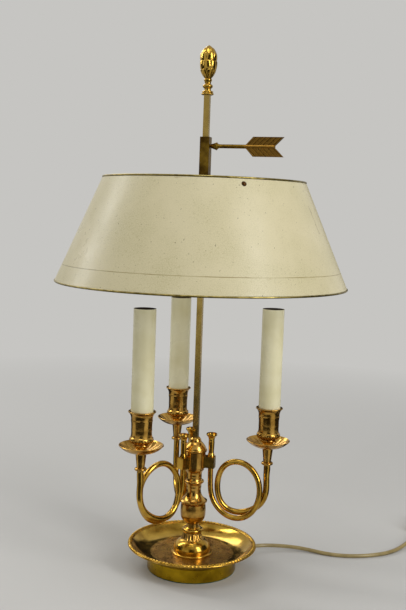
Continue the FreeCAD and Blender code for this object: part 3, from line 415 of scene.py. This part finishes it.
def worn_dish():
    """Spun brass whose flat floor is pitted and brown, where candle wax and polish lay."""
    material, tree, shader = metal_nodes("spun_gilt_brass_worn", "spun_gilt_brass")
    place = add(tree, "TexCoord").outputs["Object"]
    flat = add(tree, "VectorMath", {0: place, 1: (1.0, 1.0, 0.0)}, operation="MULTIPLY")
    reach = add(tree, "VectorMath", {0: flat}, operation="LENGTH").outputs["Value"]
    ragged = add(tree, "TexNoise", {"Vector": place, "Scale": per_mm(9.0), "Detail": 4.0})
    inputs = {0: ragged, 1: WEAR_RAGGED * MM, 2: reach}
    reach = add(tree, "Math", inputs, operation="MULTIPLY_ADD")
    inputs = {0: reach, 1: WEAR_FROM * MM, 2: WEAR_TO * MM, 3: 1.0, 4: 0.0}
    on_floor = add(tree, "MapRange", inputs)
    # Pits about 2 mm apart.
    pits = add(tree, "TexNoise", {"Vector": place, "Scale": per_mm(1.8), "Detail": 3.0})
    pitted = add(tree, "MapRange", {0: pits, 1: 0.46, 2: 0.58, 3: 0.25, 4: 0.95})
    worn = add(tree, "Math", {0: on_floor, 1: pitted}, operation="MULTIPLY")
    stain(tree, shader, worn, "#8A5F30")
    # Worn brass is duller.
    polish = shader.inputs["Roughness"]
    inputs = {0: worn, 1: 0.30, 2: polish.links[0].from_socket}
    tree.links.new(add(tree, "Math", inputs, operation="MULTIPLY_ADD").outputs[0], polish)
    sunk = add(tree, "Math", {0: worn, 1: -1.0}, operation="MULTIPLY")
    emboss(tree, shader, sunk, WEAR_DEPTH, 0.7)
    return material


def engraved_vane():
    """Aged brass of the arrow, with a dark line between the barbs of its feathers."""
    material, tree, shader = metal_nodes("aged_brass_engraved", "aged_brass")
    place = add(tree, "TexCoord").outputs["Object"]
    inputs = {0: place, 1: KEY_WAY}
    along = add(tree, "VectorMath", inputs, operation="DOT_PRODUCT").outputs["Value"]
    height = add(tree, "SeparateXYZ", {0: place}).outputs[2]
    off = add(tree, "Math", {0: height, 1: KEY_Z * MM}, operation="SUBTRACT")
    off = add(tree, "Math", {0: off}, operation="ABSOLUTE")
    slanted = add(tree, "Math", {0: off, 1: -BARB_SLOPE, 2: along}, operation="MULTIPLY_ADD")
    phase = add(tree, "Math", {0: slanted, 1: BARB_PITCH * MM / 2}, operation="PINGPONG")
    inputs = {0: phase, 1: 0.0, 2: BARB_PITCH * MM * BARB_LINE, 3: 1.0, 4: 0.0}
    line = add(tree, "MapRange", inputs)
    on_vane = add(tree, "Math", {0: along, 1: VANE_START * MM}, operation="GREATER_THAN")
    off_spine = add(tree, "Math", {0: off, 1: SPINE_HALF * MM}, operation="GREATER_THAN")
    line = add(tree, "Math", {0: line, 1: on_vane}, operation="MULTIPLY")
    line = add(tree, "Math", {0: line, 1: off_spine}, operation="MULTIPLY")
    stain(tree, shader, on_vane, "#8E6A2C")
    stain(tree, shader, line, "#2E1D0A")
    sunk = add(tree, "Math", {0: line, 1: -1.0}, operation="MULTIPLY")
    emboss(tree, shader, sunk, BARB_DEPTH, 0.8)
    return material


def made(name, kind=metal):
    """The material of this name, made once."""
    return bpy.data.materials.get(name) or kind(name)


def finish(names, material):
    """Give CAD nodes a material."""
    for name in names:
        mesh = NODES[name].data
        mesh.materials.clear()
        mesh.materials.append(material)
        mesh.polygons.foreach_set("material_index", [0] * len(mesh.polygons))


def finish_inside(name, centre, radius, material):
    """Give the faces of a tube that lie nearer its axis than radius a material of their own."""
    mesh = NODES[name].data
    mesh.materials.append(material)
    for face in mesh.polygons:
        if math.hypot(face.center.x - centre[0], face.center.y - centre[1]) < radius:
            face.material_index = len(mesh.materials) - 1


# Meshes

def bow(start, end, height, steps):
    """Points from after start to end on a shallow curve that stands off the line by height."""
    length = math.dist(start, end)
    normal = ((end[1] - start[1]) / length, -(end[0] - start[0]) / length)
    points = []
    for step in range(1, steps + 1):
        share = step / steps
        lift = 4 * height * share * (1 - share)
        points.append(tuple(
            start[i] + (end[i] - start[i]) * share + normal[i] * lift for i in (0, 1)))
    return points


def vertex(cloud, centre, radius, angle, height):
    """Vertex at a radius and height in mm from a centre in metres."""
    x = centre[0] + radius * MM * math.cos(angle)
    y = centre[1] + radius * MM * math.sin(angle)
    return cloud.verts.new((x, y, height * MM))


def join_rings(cloud, rings, around):
    """Faces from each ring of vertices to the next and from the last to the first."""
    for first, second in zip(rings, rings[1:] + rings[:1]):
        for number in range(around):
            after = (number + 1) % around
            corners = [first[number % len(first)], first[after % len(first)],
                       second[after % len(second)], second[number % len(second)]]
            # A ring of one vertex, on the axis, gives triangles.
            corners = list(dict.fromkeys(corners))
            if len(corners) > 2:
                cloud.faces.new(corners)


def object_from(name, cloud, crease=38.0):
    """Object from a bmesh, smooth apart from edges sharper than crease."""
    bmesh.ops.recalc_face_normals(cloud, faces=cloud.faces)
    for face in cloud.faces:
        face.smooth = True
    for edge in cloud.edges:
        edge.smooth = edge.calc_face_angle(0.0) < math.radians(crease)
    mesh = bpy.data.meshes.new(name)
    cloud.to_mesh(mesh)
    cloud.free()
    piece = bpy.data.objects.new(name, mesh)
    bpy.context.scene.collection.objects.link(piece)
    return piece


def turned(name, outline, segments, relief=None, centre=(0.0, 0.0)):
    """Turned mesh from a closed outline of (radius, height) in mm; relief adds to the radius."""
    cloud = bmesh.new()
    rings = []
    for number, (radius, height) in enumerate(outline):
        ring = []
        for segment in range(1 if radius <= 0 else segments):
            angle = math.tau * segment / segments
            carved = relief(number, radius, height, angle) if relief and radius > 0 else 0.0
            ring.append(vertex(cloud, centre, radius + carved, angle, height))
        rings.append(ring)
    join_rings(cloud, rings, segments)
    return object_from(name, cloud)


def rope(name, ring_r, height, rope_r, strands, depth, steps, centre=(0.0, 0.0)):
    """Twisted ring: a torus in mm whose small radius swells with each strand."""
    cloud = bmesh.new()
    around = strands * steps
    sides = 14
    rings = []
    for number in range(around):
        angle = math.tau * number / around
        ring = []
        for side in range(sides):
            turn = math.tau * side / sides
            swell = abs(math.cos((strands * angle + 2 * turn) / 2))
            small = rope_r - depth + depth * swell
            out = ring_r + small * math.cos(turn)
            ring.append(vertex(cloud, centre, out, angle, height + small * math.sin(turn)))
        rings.append(ring)
    join_rings(cloud, rings, sides)
    return object_from(name, cloud, 60.0)


def arm_centre(name):
    """Axis of an arm's candle, in metres."""
    angle = math.radians(ARMS[name])
    return (CANDLE_RING_R * MM * math.cos(angle), CANDLE_RING_R * MM * math.sin(angle))


def dress(piece, material, body, slot, *stands_for):
    """Material, body and the CAD nodes that a piece stands for; slot is not used."""
    piece.data.materials.append(material)
    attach(piece, body)
    if stands_for:
        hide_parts(*stands_for)


class LampSizes(bpy.types.PropertyGroup):
    """Sizes that change how the dressed lamp looks."""

    cord_diameter: bpy.props.FloatProperty(
        name="Cord diameter", description="Outer diameter of the round cord",
        default=0.005, min=0.003, max=0.008, subtype="DISTANCE", unit="LENGTH")
    coil_inner: bpy.props.FloatProperty(
        name="Coil radius", description="Radius of the innermost turn of the put-away coil",
        default=0.021, min=0.02, max=0.06, subtype="DISTANCE", unit="LENGTH")
    coil_pitch: bpy.props.FloatProperty(
        name="Coil pitch", description="Distance from one turn of the coil to the next",
        default=0.00545, min=0.005, max=0.01, subtype="DISTANCE", unit="LENGTH")
    rope_pitch: bpy.props.FloatProperty(
        name="Rope pitch", description="Distance from strand to strand on the dish's rope edge",
        default=0.0046, min=0.0015, max=0.008, subtype="DISTANCE", unit="LENGTH")
    flute_depth: bpy.props.FloatProperty(
        name="Flute depth", description="Depth of the flutes in the drip pans",
        default=0.0005, min=0.0, max=0.001, subtype="DISTANCE", unit="LENGTH")
    scale_depth: bpy.props.FloatProperty(
        name="Scale depth", description="How far the scales of the finial stand out",
        default=0.0009, min=0.0, max=0.002, subtype="DISTANCE", unit="LENGTH")


class LampColours(bpy.types.PropertyGroup):
    """Colours and painted lines that a user would change."""

    paint: bpy.props.FloatVectorProperty(
        name="Shade paint", description="Cream paint on the outside of the shade",
        default=linear("#D2C8A4"), size=4, min=0.0, max=1.0, subtype="COLOR")
    floor: bpy.props.FloatVectorProperty(
        name="Floor", description="Pale floor and background",
        default=linear("#C6C5C2"), size=4, min=0.0, max=1.0, subtype="COLOR")
    line_height: bpy.props.FloatProperty(
        name="Line height", description="Height of the ruled line on the shade",
        default=0.3885, min=0.37, max=0.49, subtype="DISTANCE", unit="LENGTH")
    line_width: bpy.props.FloatProperty(
        name="Line width", description="Width of the ruled line on the shade",
        default=0.0009, min=0.0003, max=0.004, subtype="DISTANCE", unit="LENGTH")


class LAMP_OT_stage(bpy.types.Operator):
    """Pale floor, soft studio light and the camera"""

    bl_idname = "lamp.stage"
    bl_label = "Stage and camera"

    def execute(self, context):
        scene = context.scene
        scene.view_settings.view_transform = "Standard"
        self.make_floor(scene)
        self.make_world(scene)
        self.make_lights(scene)
        self.make_cards()
        self.make_camera(scene)
        return {"FINISHED"}

    def make_floor(self, scene):
        """Round floor that fades into the background far from the lamp."""
        cloud = bmesh.new()
        bmesh.ops.create_circle(cloud, cap_ends=True, segments=96, radius=9.0)
        floor = object_from("floor", cloud)
        material, tree, shader = new_material("matt_paper_floor")
        shader.inputs["Base Color"].default_value = scene.lamp_colours.floor
        shader.inputs["Roughness"].default_value = 0.9
        shader.inputs["Specular IOR Level"].default_value = 0.1
        place = add(tree, "TexCoord").outputs["Object"]
        reach = add(tree, "VectorMath", {0: place}, operation="LENGTH").outputs["Value"]
        far = add(tree, "MapRange", {0: reach, 1: FADE[0], 2: FADE[1]})
        glow = add(tree, "Emission", {"Color": scene.lamp_colours.floor, "Strength": 1.0})
        both = add(tree, "MixShader", {0: far, 1: shader, 2: glow})
        end = next(node for node in tree.nodes if node.type == "OUTPUT_MATERIAL")
        tree.links.new(both.outputs[0], end.inputs["Surface"])
        floor.data.materials.append(material)

    def make_world(self, scene):
        """Even pale surroundings, seen at full strength and dimmer as fill light."""
        world = bpy.data.worlds.new("pale_studio")
        scene.world = world
        world.use_nodes = True
        tree = world.node_tree
        tree.nodes.clear()
        seen = add(tree, "Background", {"Color": scene.lamp_colours.floor, "Strength": 1.0})
        fill = add(tree, "Background", {"Color": scene.lamp_colours.floor, "Strength": 0.62})
        rays = add(tree, "LightPath").outputs
        shown = rays["Is Camera Ray"]
        for kind in ("Is Glossy Ray", "Is Transmission Ray"):
            shown = add(tree, "Math", {0: shown, 1: rays[kind]}, operation="MAXIMUM")
        both = add(tree, "MixShader", {0: shown, 1: fill, 2: seen})
        add(tree, "OutputWorld", {"Surface": both})

    def make_lights(self, scene):
        """Soft boxes: key at the front right, narrow one at the left, one behind, one above."""
        for name, place, width, tall, power in LIGHTS:
            light = bpy.data.lights.new(name, "AREA")
            light.shape = "RECTANGLE"
            light.size = width
            light.size_y = tall
            light.energy = power
            lamp = bpy.data.objects.new(name, light)
            lamp.location = place
            way = LIGHT_AIM - Vector(place)
            lamp.rotation_euler = way.to_track_quat("-Z", "Y").to_euler()
            scene.collection.objects.link(lamp)

    def make_cards(self):
        """Dark cards, upright and on the floor, that give the metal its dark reflections."""
        dark, _, shader = new_material("black_card")
        shader.inputs["Base Color"].default_value = linear("#1A1714")
        shader.inputs["Roughness"].default_value = 1.0
        for name, place, width, tall in CARDS:
            cloud = bmesh.new()
            bmesh.ops.create_grid(cloud, x_segments=1, y_segments=1, size=0.5)
            card = object_from(name, cloud)
            card.scale = (width, tall, 1.0)
            card.location = place
            way = Vector((-place[0], -place[1], 0.0))
            card.rotation_euler = way.to_track_quat("Z", "Y").to_euler()
            self.hide_card(card, dark)
        for first, last in SECTORS:
            cloud = bmesh.new()
            rim = []
            for reach in SECTOR_REACH:
                rim.append([])
                for step in range(SECTOR_STEPS + 1):
                    way = heading(first + (last - first) * step / SECTOR_STEPS)
                    rim[-1].append(cloud.verts.new((way.x * reach, way.y * reach, SECTOR_Z)))
            for step in range(SECTOR_STEPS):
                cloud.faces.new([rim[0][step], rim[1][step], rim[1][step + 1], rim[0][step + 1]])
            self.hide_card(object_from("card_floor", cloud), dark)

    def hide_card(self, card, dark):
        """A card that only mirror-like surfaces see."""
        card.data.materials.append(dark)
        card.visible_camera = False
        card.visible_diffuse = False
        card.visible_shadow = False

    def make_camera(self, scene):
        """Camera at the photograph's place, tilted down and rolled a little."""
        lens = bpy.data.cameras.new("camera")
        lens.sensor_fit = "AUTO"
        lens.sensor_width = SENSOR
        lens.lens = SENSOR * FOCAL_PIXELS / PICTURE_PIXELS
        camera = bpy.data.objects.new("camera", lens)
        pitch, yaw, roll = (math.radians(angle) for angle in CAMERA_TURN)
        ahead = Vector((
            math.sin(yaw) * math.cos(pitch), math.cos(yaw) * math.cos(pitch), -math.sin(pitch)))
        right = Vector((math.cos(yaw), -math.sin(yaw), 0.0))
        up = right.cross(ahead)
        right_rolled = math.cos(roll) * right + math.sin(roll) * up
        up_rolled = -math.sin(roll) * right + math.cos(roll) * up
        turn = Matrix((right_rolled, up_rolled, -ahead)).transposed().to_4x4()
        camera.matrix_world = Matrix.Translation(CAMERA_PLACE) @ turn
        scene.collection.objects.link(camera)
        scene.camera = camera


class LAMP_OT_cord(bpy.types.Operator):
    """Cord with its strain relief, switch, put-away coil and plug"""

    bl_idname = "lamp.cord"
    bl_label = "Cord"

    def execute(self, context):
        sizes = context.scene.lamp_sizes
        points = list(ROUTE)
        way_out = SWITCH_IN + SWITCH_WAY * SWITCH_LENGTH
        thick = sizes.cord_diameter
        flat = Vector((way_out.x, way_out.y, thick / 2))
        points += [way_out, way_out + SWITCH_WAY * 0.011, flat + SWITCH_WAY * 0.027]
        turns = self.coil(sizes, flat)
        points += turns
        leave = -SWITCH_WAY
        points += [turns[-1] + leave * 0.014, turns[-1] + leave * 0.040]
        line = bpy.data.curves.new("cord", "CURVE")
        line.dimensions = "3D"
        spline = line.splines.new("NURBS")
        spline.points.add(len(points) - 1)
        for point, place in zip(spline.points, points):
            point.co = (*place, 1.0)
        spline.order_u = 3
        spline.use_endpoint_u = True
        line.resolution_u = 8
        line.bevel_depth = thick / 2
        line.bevel_resolution = 5
        line.use_fill_caps = True
        cord = bpy.data.objects.new("cord", line)
        context.scene.collection.objects.link(cord)
        vinyl = made("extruded_vinyl", plain)
        dress(cord, vinyl, LAMP, "beige_cord", "cord_free", "cord_coil")
        finish(["strain_relief"], vinyl)
        finish(["switch_base", "switch_cover", "plug_body"], made("moulded_urea_ivory", plain))
        finish(["switch_rocker"], made("moulded_urea_white", plain))
        finish(["plug_pins"], made("nickel_plate"))
        return {"FINISHED"}

    def coil(self, sizes, start):
        """Points of the coil: in on the floor, a climb in half a turn, and out on top."""
        outer = sizes.coil_inner + sizes.coil_pitch * COIL_TURNS
        middle = start + SWITCH_WAY * COIL_AWAY + heading(SWITCH_BEARING - 90.0) * outer
        # A smooth line stays inside its points, so they stand a little further out.
        swell = 2 / (1 + math.cos(math.pi / COIL_STEPS))
        points = []
        for number in range(int((2 * COIL_TURNS + 0.5) * COIL_STEPS) + 1):
            turn = number / COIL_STEPS
            climb = min(max((turn - COIL_TURNS) / 0.5, 0.0), 1.0)
            inward = min(turn, COIL_TURNS) - max(turn - COIL_TURNS - 0.5, 0.0)
            radius = outer - sizes.coil_pitch * inward
            radius -= COIL_DRAWN_IN * math.sin(math.pi * climb)
            lift = sizes.coil_pitch * climb * climb * (3 - 2 * climb)
            around = heading(SWITCH_BEARING + 90.0 - 360.0 * turn)
            points.append(middle + around * radius * swell + Vector((0.0, 0.0, lift)))
        return points


class LAMP_OT_base(bpy.types.Operator):
    """Foot, dish and its rope edge"""

    bl_idname = "lamp.base"
    bl_label = "Foot and dish"

    def execute(self, context):
        finish(["foot_ring"], made("rolled_olive_brass"))
        finish(["base_felt"], made("pressed_green_felt", plain))
        finish(["base_weight"], made("sand_cast_iron"))
        finish(["tie_nut", "tie_tube"], made("zinc_plated_steel"))
        self.make_dish()
        self.make_edge(context.scene.lamp_sizes)
        return {"FINISHED"}

    def make_dish(self):
        """Spun dish: flat floor, wall that rises in one sweep, thin lip turned out."""
        under = (FOOT_R + 1.0, DISH_SEAT_Z)
        turn = (DISH_TURN_R, DISH_LIP_Z - 2.0)
        outline = [(DISH_HOLE_R, DISH_SEAT_Z), under]
        outline += bow(under, turn, 0.3, 16)
        outline += bow(turn, (DISH_EDGE_R, DISH_LIP_Z - 0.5), 0.2, 4)
        outline += [(DISH_EDGE_R, DISH_LIP_Z), (DISH_LIP_R, DISH_LIP_Z)]
        outline += bow((DISH_LIP_R, DISH_LIP_Z), (DISH_FLOOR_R, DISH_FLOOR_Z), -3.0, 24)
        outline += [(DISH_HOLE_R, DISH_FLOOR_Z)]
        bowl = turned("dish_bowl", outline, DISH_STEPS)
        dress(bowl, worn_dish(), LAMP, "gilt_brass_dish", "dish")
        bowl.data.materials.append(made("rolled_olive_brass"))
        # The underside has the olive tone of the foot.
        for face in bowl.data.polygons:
            if face.normal.z < -0.05:
                face.material_index = 1

    def make_edge(self, sizes):
        """Moulded edge: a rope between two fillets, on a dark bed."""
        z = DISH_LIP_Z
        outer = [(80.8, z - 0.5), (82.2, z - 0.6)]
        outer += bow((82.2, z - 0.6), (82.4, z + 0.5), 0.4, 6)
        outer += [(81.4, z + 0.6), (80.8, z + 0.3)]
        inner = [(77.0, z), (79.0, z), (79.0, z + 0.4), (78.0, z + 0.6)]
        inner += bow((78.0, z + 0.6), (77.0, z + 0.9), 0.5, 5)
        gilt = made("polished_gilt_brass")
        dress(turned("rim_fillet_outer", outer, DISH_STEPS), gilt, LAMP, "gilt_brass_dish")
        dress(turned("rim_fillet_inner", inner, DISH_STEPS), gilt, LAMP, "gilt_brass_dish")
        band = [(78.6, z), (81.2, z), (81.2, z + 0.5), (78.6, z + 0.5)]
        bed = turned("rim_bed", band, DISH_STEPS)
        dress(bed, made("patinated_recess"), LAMP, "gilt_brass_dish", "rim_moulding")
        strands = round(math.tau * ROPE_RING_R * MM / sizes.rope_pitch)
        twist = rope("rim_rope", ROPE_RING_R, z + 0.4, ROPE_R, strands, ROPE_DEPTH, 10)
        dress(twist, gilt, LAMP, "gilt_brass_dish")


class LAMP_OT_column(bpy.types.Operator):
    """Turned column, its leaf collar and the wiring drum"""

    bl_idname = "lamp.column"
    bl_label = "Column"

    def execute(self, context):
        rose = made("turned_rose_gilt")
        finish(["urn", "column_shaft", "hub_drum", "hub_cap"], rose)
        finish(["dome_collar"], made("polished_gilt_brass"))
        outline = [(9.0, 36.2), (16.3, COLLAR_LOW_Z)]
        outline += bow((16.3, COLLAR_LOW_Z), (10.7, 45.4), -1.3, 14)
        outline += [(10.7, COLLAR_HIGH_Z), (9.0, COLLAR_HIGH_Z)]
        top = len(outline) - 2

        def leaves(number, radius, height, angle):
            """Leaves side by side with fine veins, shallow at their foot and tip."""
            if number == 0 or number > top:
                return 0.0
            share = (height - COLLAR_LOW_Z) / (COLLAR_HIGH_Z - COLLAR_LOW_Z)
            share = min(max(share, 0.05), 0.95)
            leaf = 0.25 + 1.15 * abs(math.cos(LEAVES / 2 * angle)) ** 0.6
            vein = 0.25 * abs(math.cos(LEAVES * 2 * angle))
            return (leaf - vein) * math.sin(math.pi * share) ** 0.7

        band = turned("collar_leaves", outline, 336, leaves)
        dress(band, rose, LAMP, "gilt_brass_column")
        return {"FINISHED"}


class LAMP_OT_arms(bpy.types.Operator):
    """Three horn arms with their stems, fluted pans and candle cups"""

    bl_idname = "lamp.arms"
    bl_label = "Arms"

    def execute(self, context):
        gilt = made("polished_gilt_brass")
        rose = made("turned_rose_gilt")
        sizes = context.scene.lamp_sizes
        for arm in ARMS:
            finish(["horn_" + arm, "arm_block_" + arm, "mouthpiece_" + arm], gilt)
            finish(["candle_stem_" + arm, "candle_cup_" + arm], rose)
            finish(["holder_nipple_" + arm], made("zinc_plated_steel"))
            self.make_pan(arm, rose, sizes)
            self.make_cup_trim(arm, rose)
        return {"FINISHED"}

    def make_pan(self, arm, material, sizes):
        """Drip pan with radial flutes inside and a turned-out edge."""
        z = PAN_LOW_Z
        outline = [(4.3, z), (9.2, z)]
        outline += bow((9.2, z), (26.5, z + 8.6), 1.8, 14)
        outline += bow((26.5, z + 8.6), (26.5, z + 10.0), 0.75, 6)
        outline += [(25.7, z + 9.3)]
        upper = len(outline)
        outline += bow((25.7, z + 9.3), (9.2, z + 1.4), -1.6, 18)
        lower = len(outline)
        outline += [(4.3, z + 1.4)]
        depth = sizes.flute_depth / MM

        def flutes(number, radius, height, angle):
            """Flutes in the upper side only, deepest half way up it."""
            if upper <= number < lower - 1:
                share = (number - upper) / (lower - upper)
                wave = abs(math.sin(FLUTES / 2 * angle))
                return -depth * 2.2 * wave * math.sin(math.pi * share) ** 0.6
            return 0.0

        pan = turned("pan_" + arm, outline, 288, flutes, arm_centre(arm))
        dress(pan, material, LAMP, "gilt_brass_arms", "drip_pan_" + arm)

    def make_cup_trim(self, arm, material):
        """Gadroons under the cup's bowl and a milled bead at its lip."""
        z = CUP_LOW_Z
        outline = [(7.0, z + 9.4), (9.2, z + 10.0)]
        outline += bow((9.2, z + 10.0), (14.1, z + 17.2), 2.0, 12)
        outline += [(13.0, z + 18.4), (12.0, z + 18.4)]
        last = len(outline) - 3

        def gadroons(number, radius, height, angle):
            """Round ribs side by side, fullest half way up."""
            if not 1 < number <= last:
                return 0.0
            share = (number - 1) / (last - 1)
            rib = abs(math.cos(GADROONS / 2 * angle)) ** 0.7
            return 0.15 + 0.75 * rib * math.sin(math.pi * share)

        bowl = turned("cup_gadroons_" + arm, outline, 252, gadroons, arm_centre(arm))
        dress(bowl, material, LAMP, "gilt_brass_arms")
        bead = rope("cup_bead_" + arm, 16.0, z + 48.9, 0.85, 44, 0.25, 6, arm_centre(arm))
        dress(bead, material, LAMP, "gilt_brass_arms")


class LAMP_OT_candles(bpy.types.Operator):
    """Candle tubes and the lampholders in them"""

    bl_idname = "lamp.candles"
    bl_label = "Candles"

    def execute(self, context):
        for arm in ARMS:
            tube = "candle_tube_" + arm
            finish([tube], made("moulded_candle_cream", plain))
            card = made("raw_card_inside", plain)
            finish_inside(tube, arm_centre(arm), CANDLE_INSIDE_R * MM, card)
            finish(["lampholder_" + arm], made("moulded_phenolic", plain))
        return {"FINISHED"}


class LAMP_OT_rod(bpy.types.Operator):
    """Square rod and the carved finial"""

    bl_idname = "lamp.rod"
    bl_label = "Rod and finial"

    def execute(self, context):
        finish(["square_rod"], made("drawn_brass_bar"))
        z = FINIAL_Z
        outline = [(0.0, z), (6.9, z)]
        outline += bow((6.9, z), (6.9, z + 2.2), 0.9, 8)
        outline += [(6.2, z + 2.5)]
        outline += bow((6.2, z + 2.5), (6.2, z + 4.5), 0.8, 8)
        outline += [(4.2, z + 5.1), (4.0, z + 7.0), (4.6, z + 8.0)]
        outline += bow((4.6, z + 8.0), (4.6, z + 12.8), 1.7, 10)
        outline += [(3.9, z + 13.4)]
        outline += bow((3.9, z + 13.4), (4.9, z + 17.2), -0.4, 5)
        outline += bow((4.9, z + 17.2), (4.1, z + 19.6), 0.4, 5)
        first = len(outline)
        outline += bow((4.1, z + 19.6), (10.3, z + 40.5), 2.4, 34)
        outline += bow((10.3, z + 40.5), (1.6, z + 59.0), 3.4, 40)
        last = len(outline)
        outline += [(0.0, z + 60.0)]
        depth = context.scene.lamp_sizes.scale_depth / MM

        def scales(number, radius, height, angle):
            """Overlapping scales in staggered rows, each rising to its tip."""
            if not first <= number < last:
                return 0.0
            along = (number - first) / (last - first) * SCALE_ROWS
            row = math.floor(along)
            across = (angle / math.tau * SCALES + 0.5 * (row % 2)) % 1.0 - 0.5
            tip = along - row
            edge = max(0.0, 1 - (2 * abs(across)) ** 2 * (0.55 + 0.9 * tip))
            return depth * (edge ** 0.5 * (0.35 + 0.65 * tip) - 0.5) * min(1.0, radius / 5.0)

        knob = turned("finial_carved", outline, 216, scales)
        dress(knob, made("spun_gilt_brass"), LAMP, "gilt_brass_column", "finial")
        return {"FINISHED"}


class LAMP_OT_shade(bpy.types.Operator):
    """Painted shade, its wires, spider and screws"""

    bl_idname = "lamp.shade"
    bl_label = "Shade"

    def execute(self, context):
        finish(["shade_shell"], painted_tole(context.scene.lamp_colours))
        finish(["shade_wire_top", "shade_wire_bottom"], made("drawn_brass_wire"))
        finish(["spider"], made("aged_brass"))
        finish(["spider_screws"], made("blackened_brass"))
        return {"FINISHED"}


class LAMP_OT_key(bpy.types.Operator):
    """Sleeve that slides on the rod, and the arrow key that clamps it"""

    bl_idname = "lamp.key"
    bl_label = "Sleeve and arrow key"

    def execute(self, context):
        finish(["arrow_key"], engraved_vane())
        finish(["sleeve"], made("aged_brass"))
        return {"FINISHED"}


class LAMP_PT_panel(bpy.types.Panel):
    """The lamp's sizes, colours and pieces"""

    bl_idname = "LAMP_PT_panel"
    bl_label = "Lamp"
    bl_space_type = "VIEW_3D"
    bl_region_type = "UI"
    bl_category = "Lamp"

    def draw(self, context):
        for group in (context.scene.lamp_sizes, context.scene.lamp_colours):
            for name in group.__annotations__:
                self.layout.prop(group, name)
        for operator in OPERATORS:
            self.layout.operator(operator.bl_idname)


OPERATORS = (
    LAMP_OT_stage, LAMP_OT_cord, LAMP_OT_base, LAMP_OT_column, LAMP_OT_arms,
    LAMP_OT_candles, LAMP_OT_rod, LAMP_OT_shade, LAMP_OT_key)
CLASSES = (LampSizes, LampColours, *OPERATORS, LAMP_PT_panel)


def register():
    for item in CLASSES:
        bpy.utils.register_class(item)
    bpy.types.Scene.lamp_sizes = bpy.props.PointerProperty(type=LampSizes)
    bpy.types.Scene.lamp_colours = bpy.props.PointerProperty(type=LampColours)


def unregister():
    del bpy.types.Scene.lamp_colours
    del bpy.types.Scene.lamp_sizes
    for item in reversed(CLASSES):
        bpy.utils.unregister_class(item)


def main():
    register()
    bpy.ops.lamp.stage()
    bpy.ops.lamp.cord()
    bpy.ops.lamp.base()
    bpy.ops.lamp.column()
    bpy.ops.lamp.arms()
    bpy.ops.lamp.candles()
    bpy.ops.lamp.rod()
    bpy.ops.lamp.shade()
    bpy.ops.lamp.key()
    bpy.context.view_layer.update()


if __name__ == "__main__":
    main()
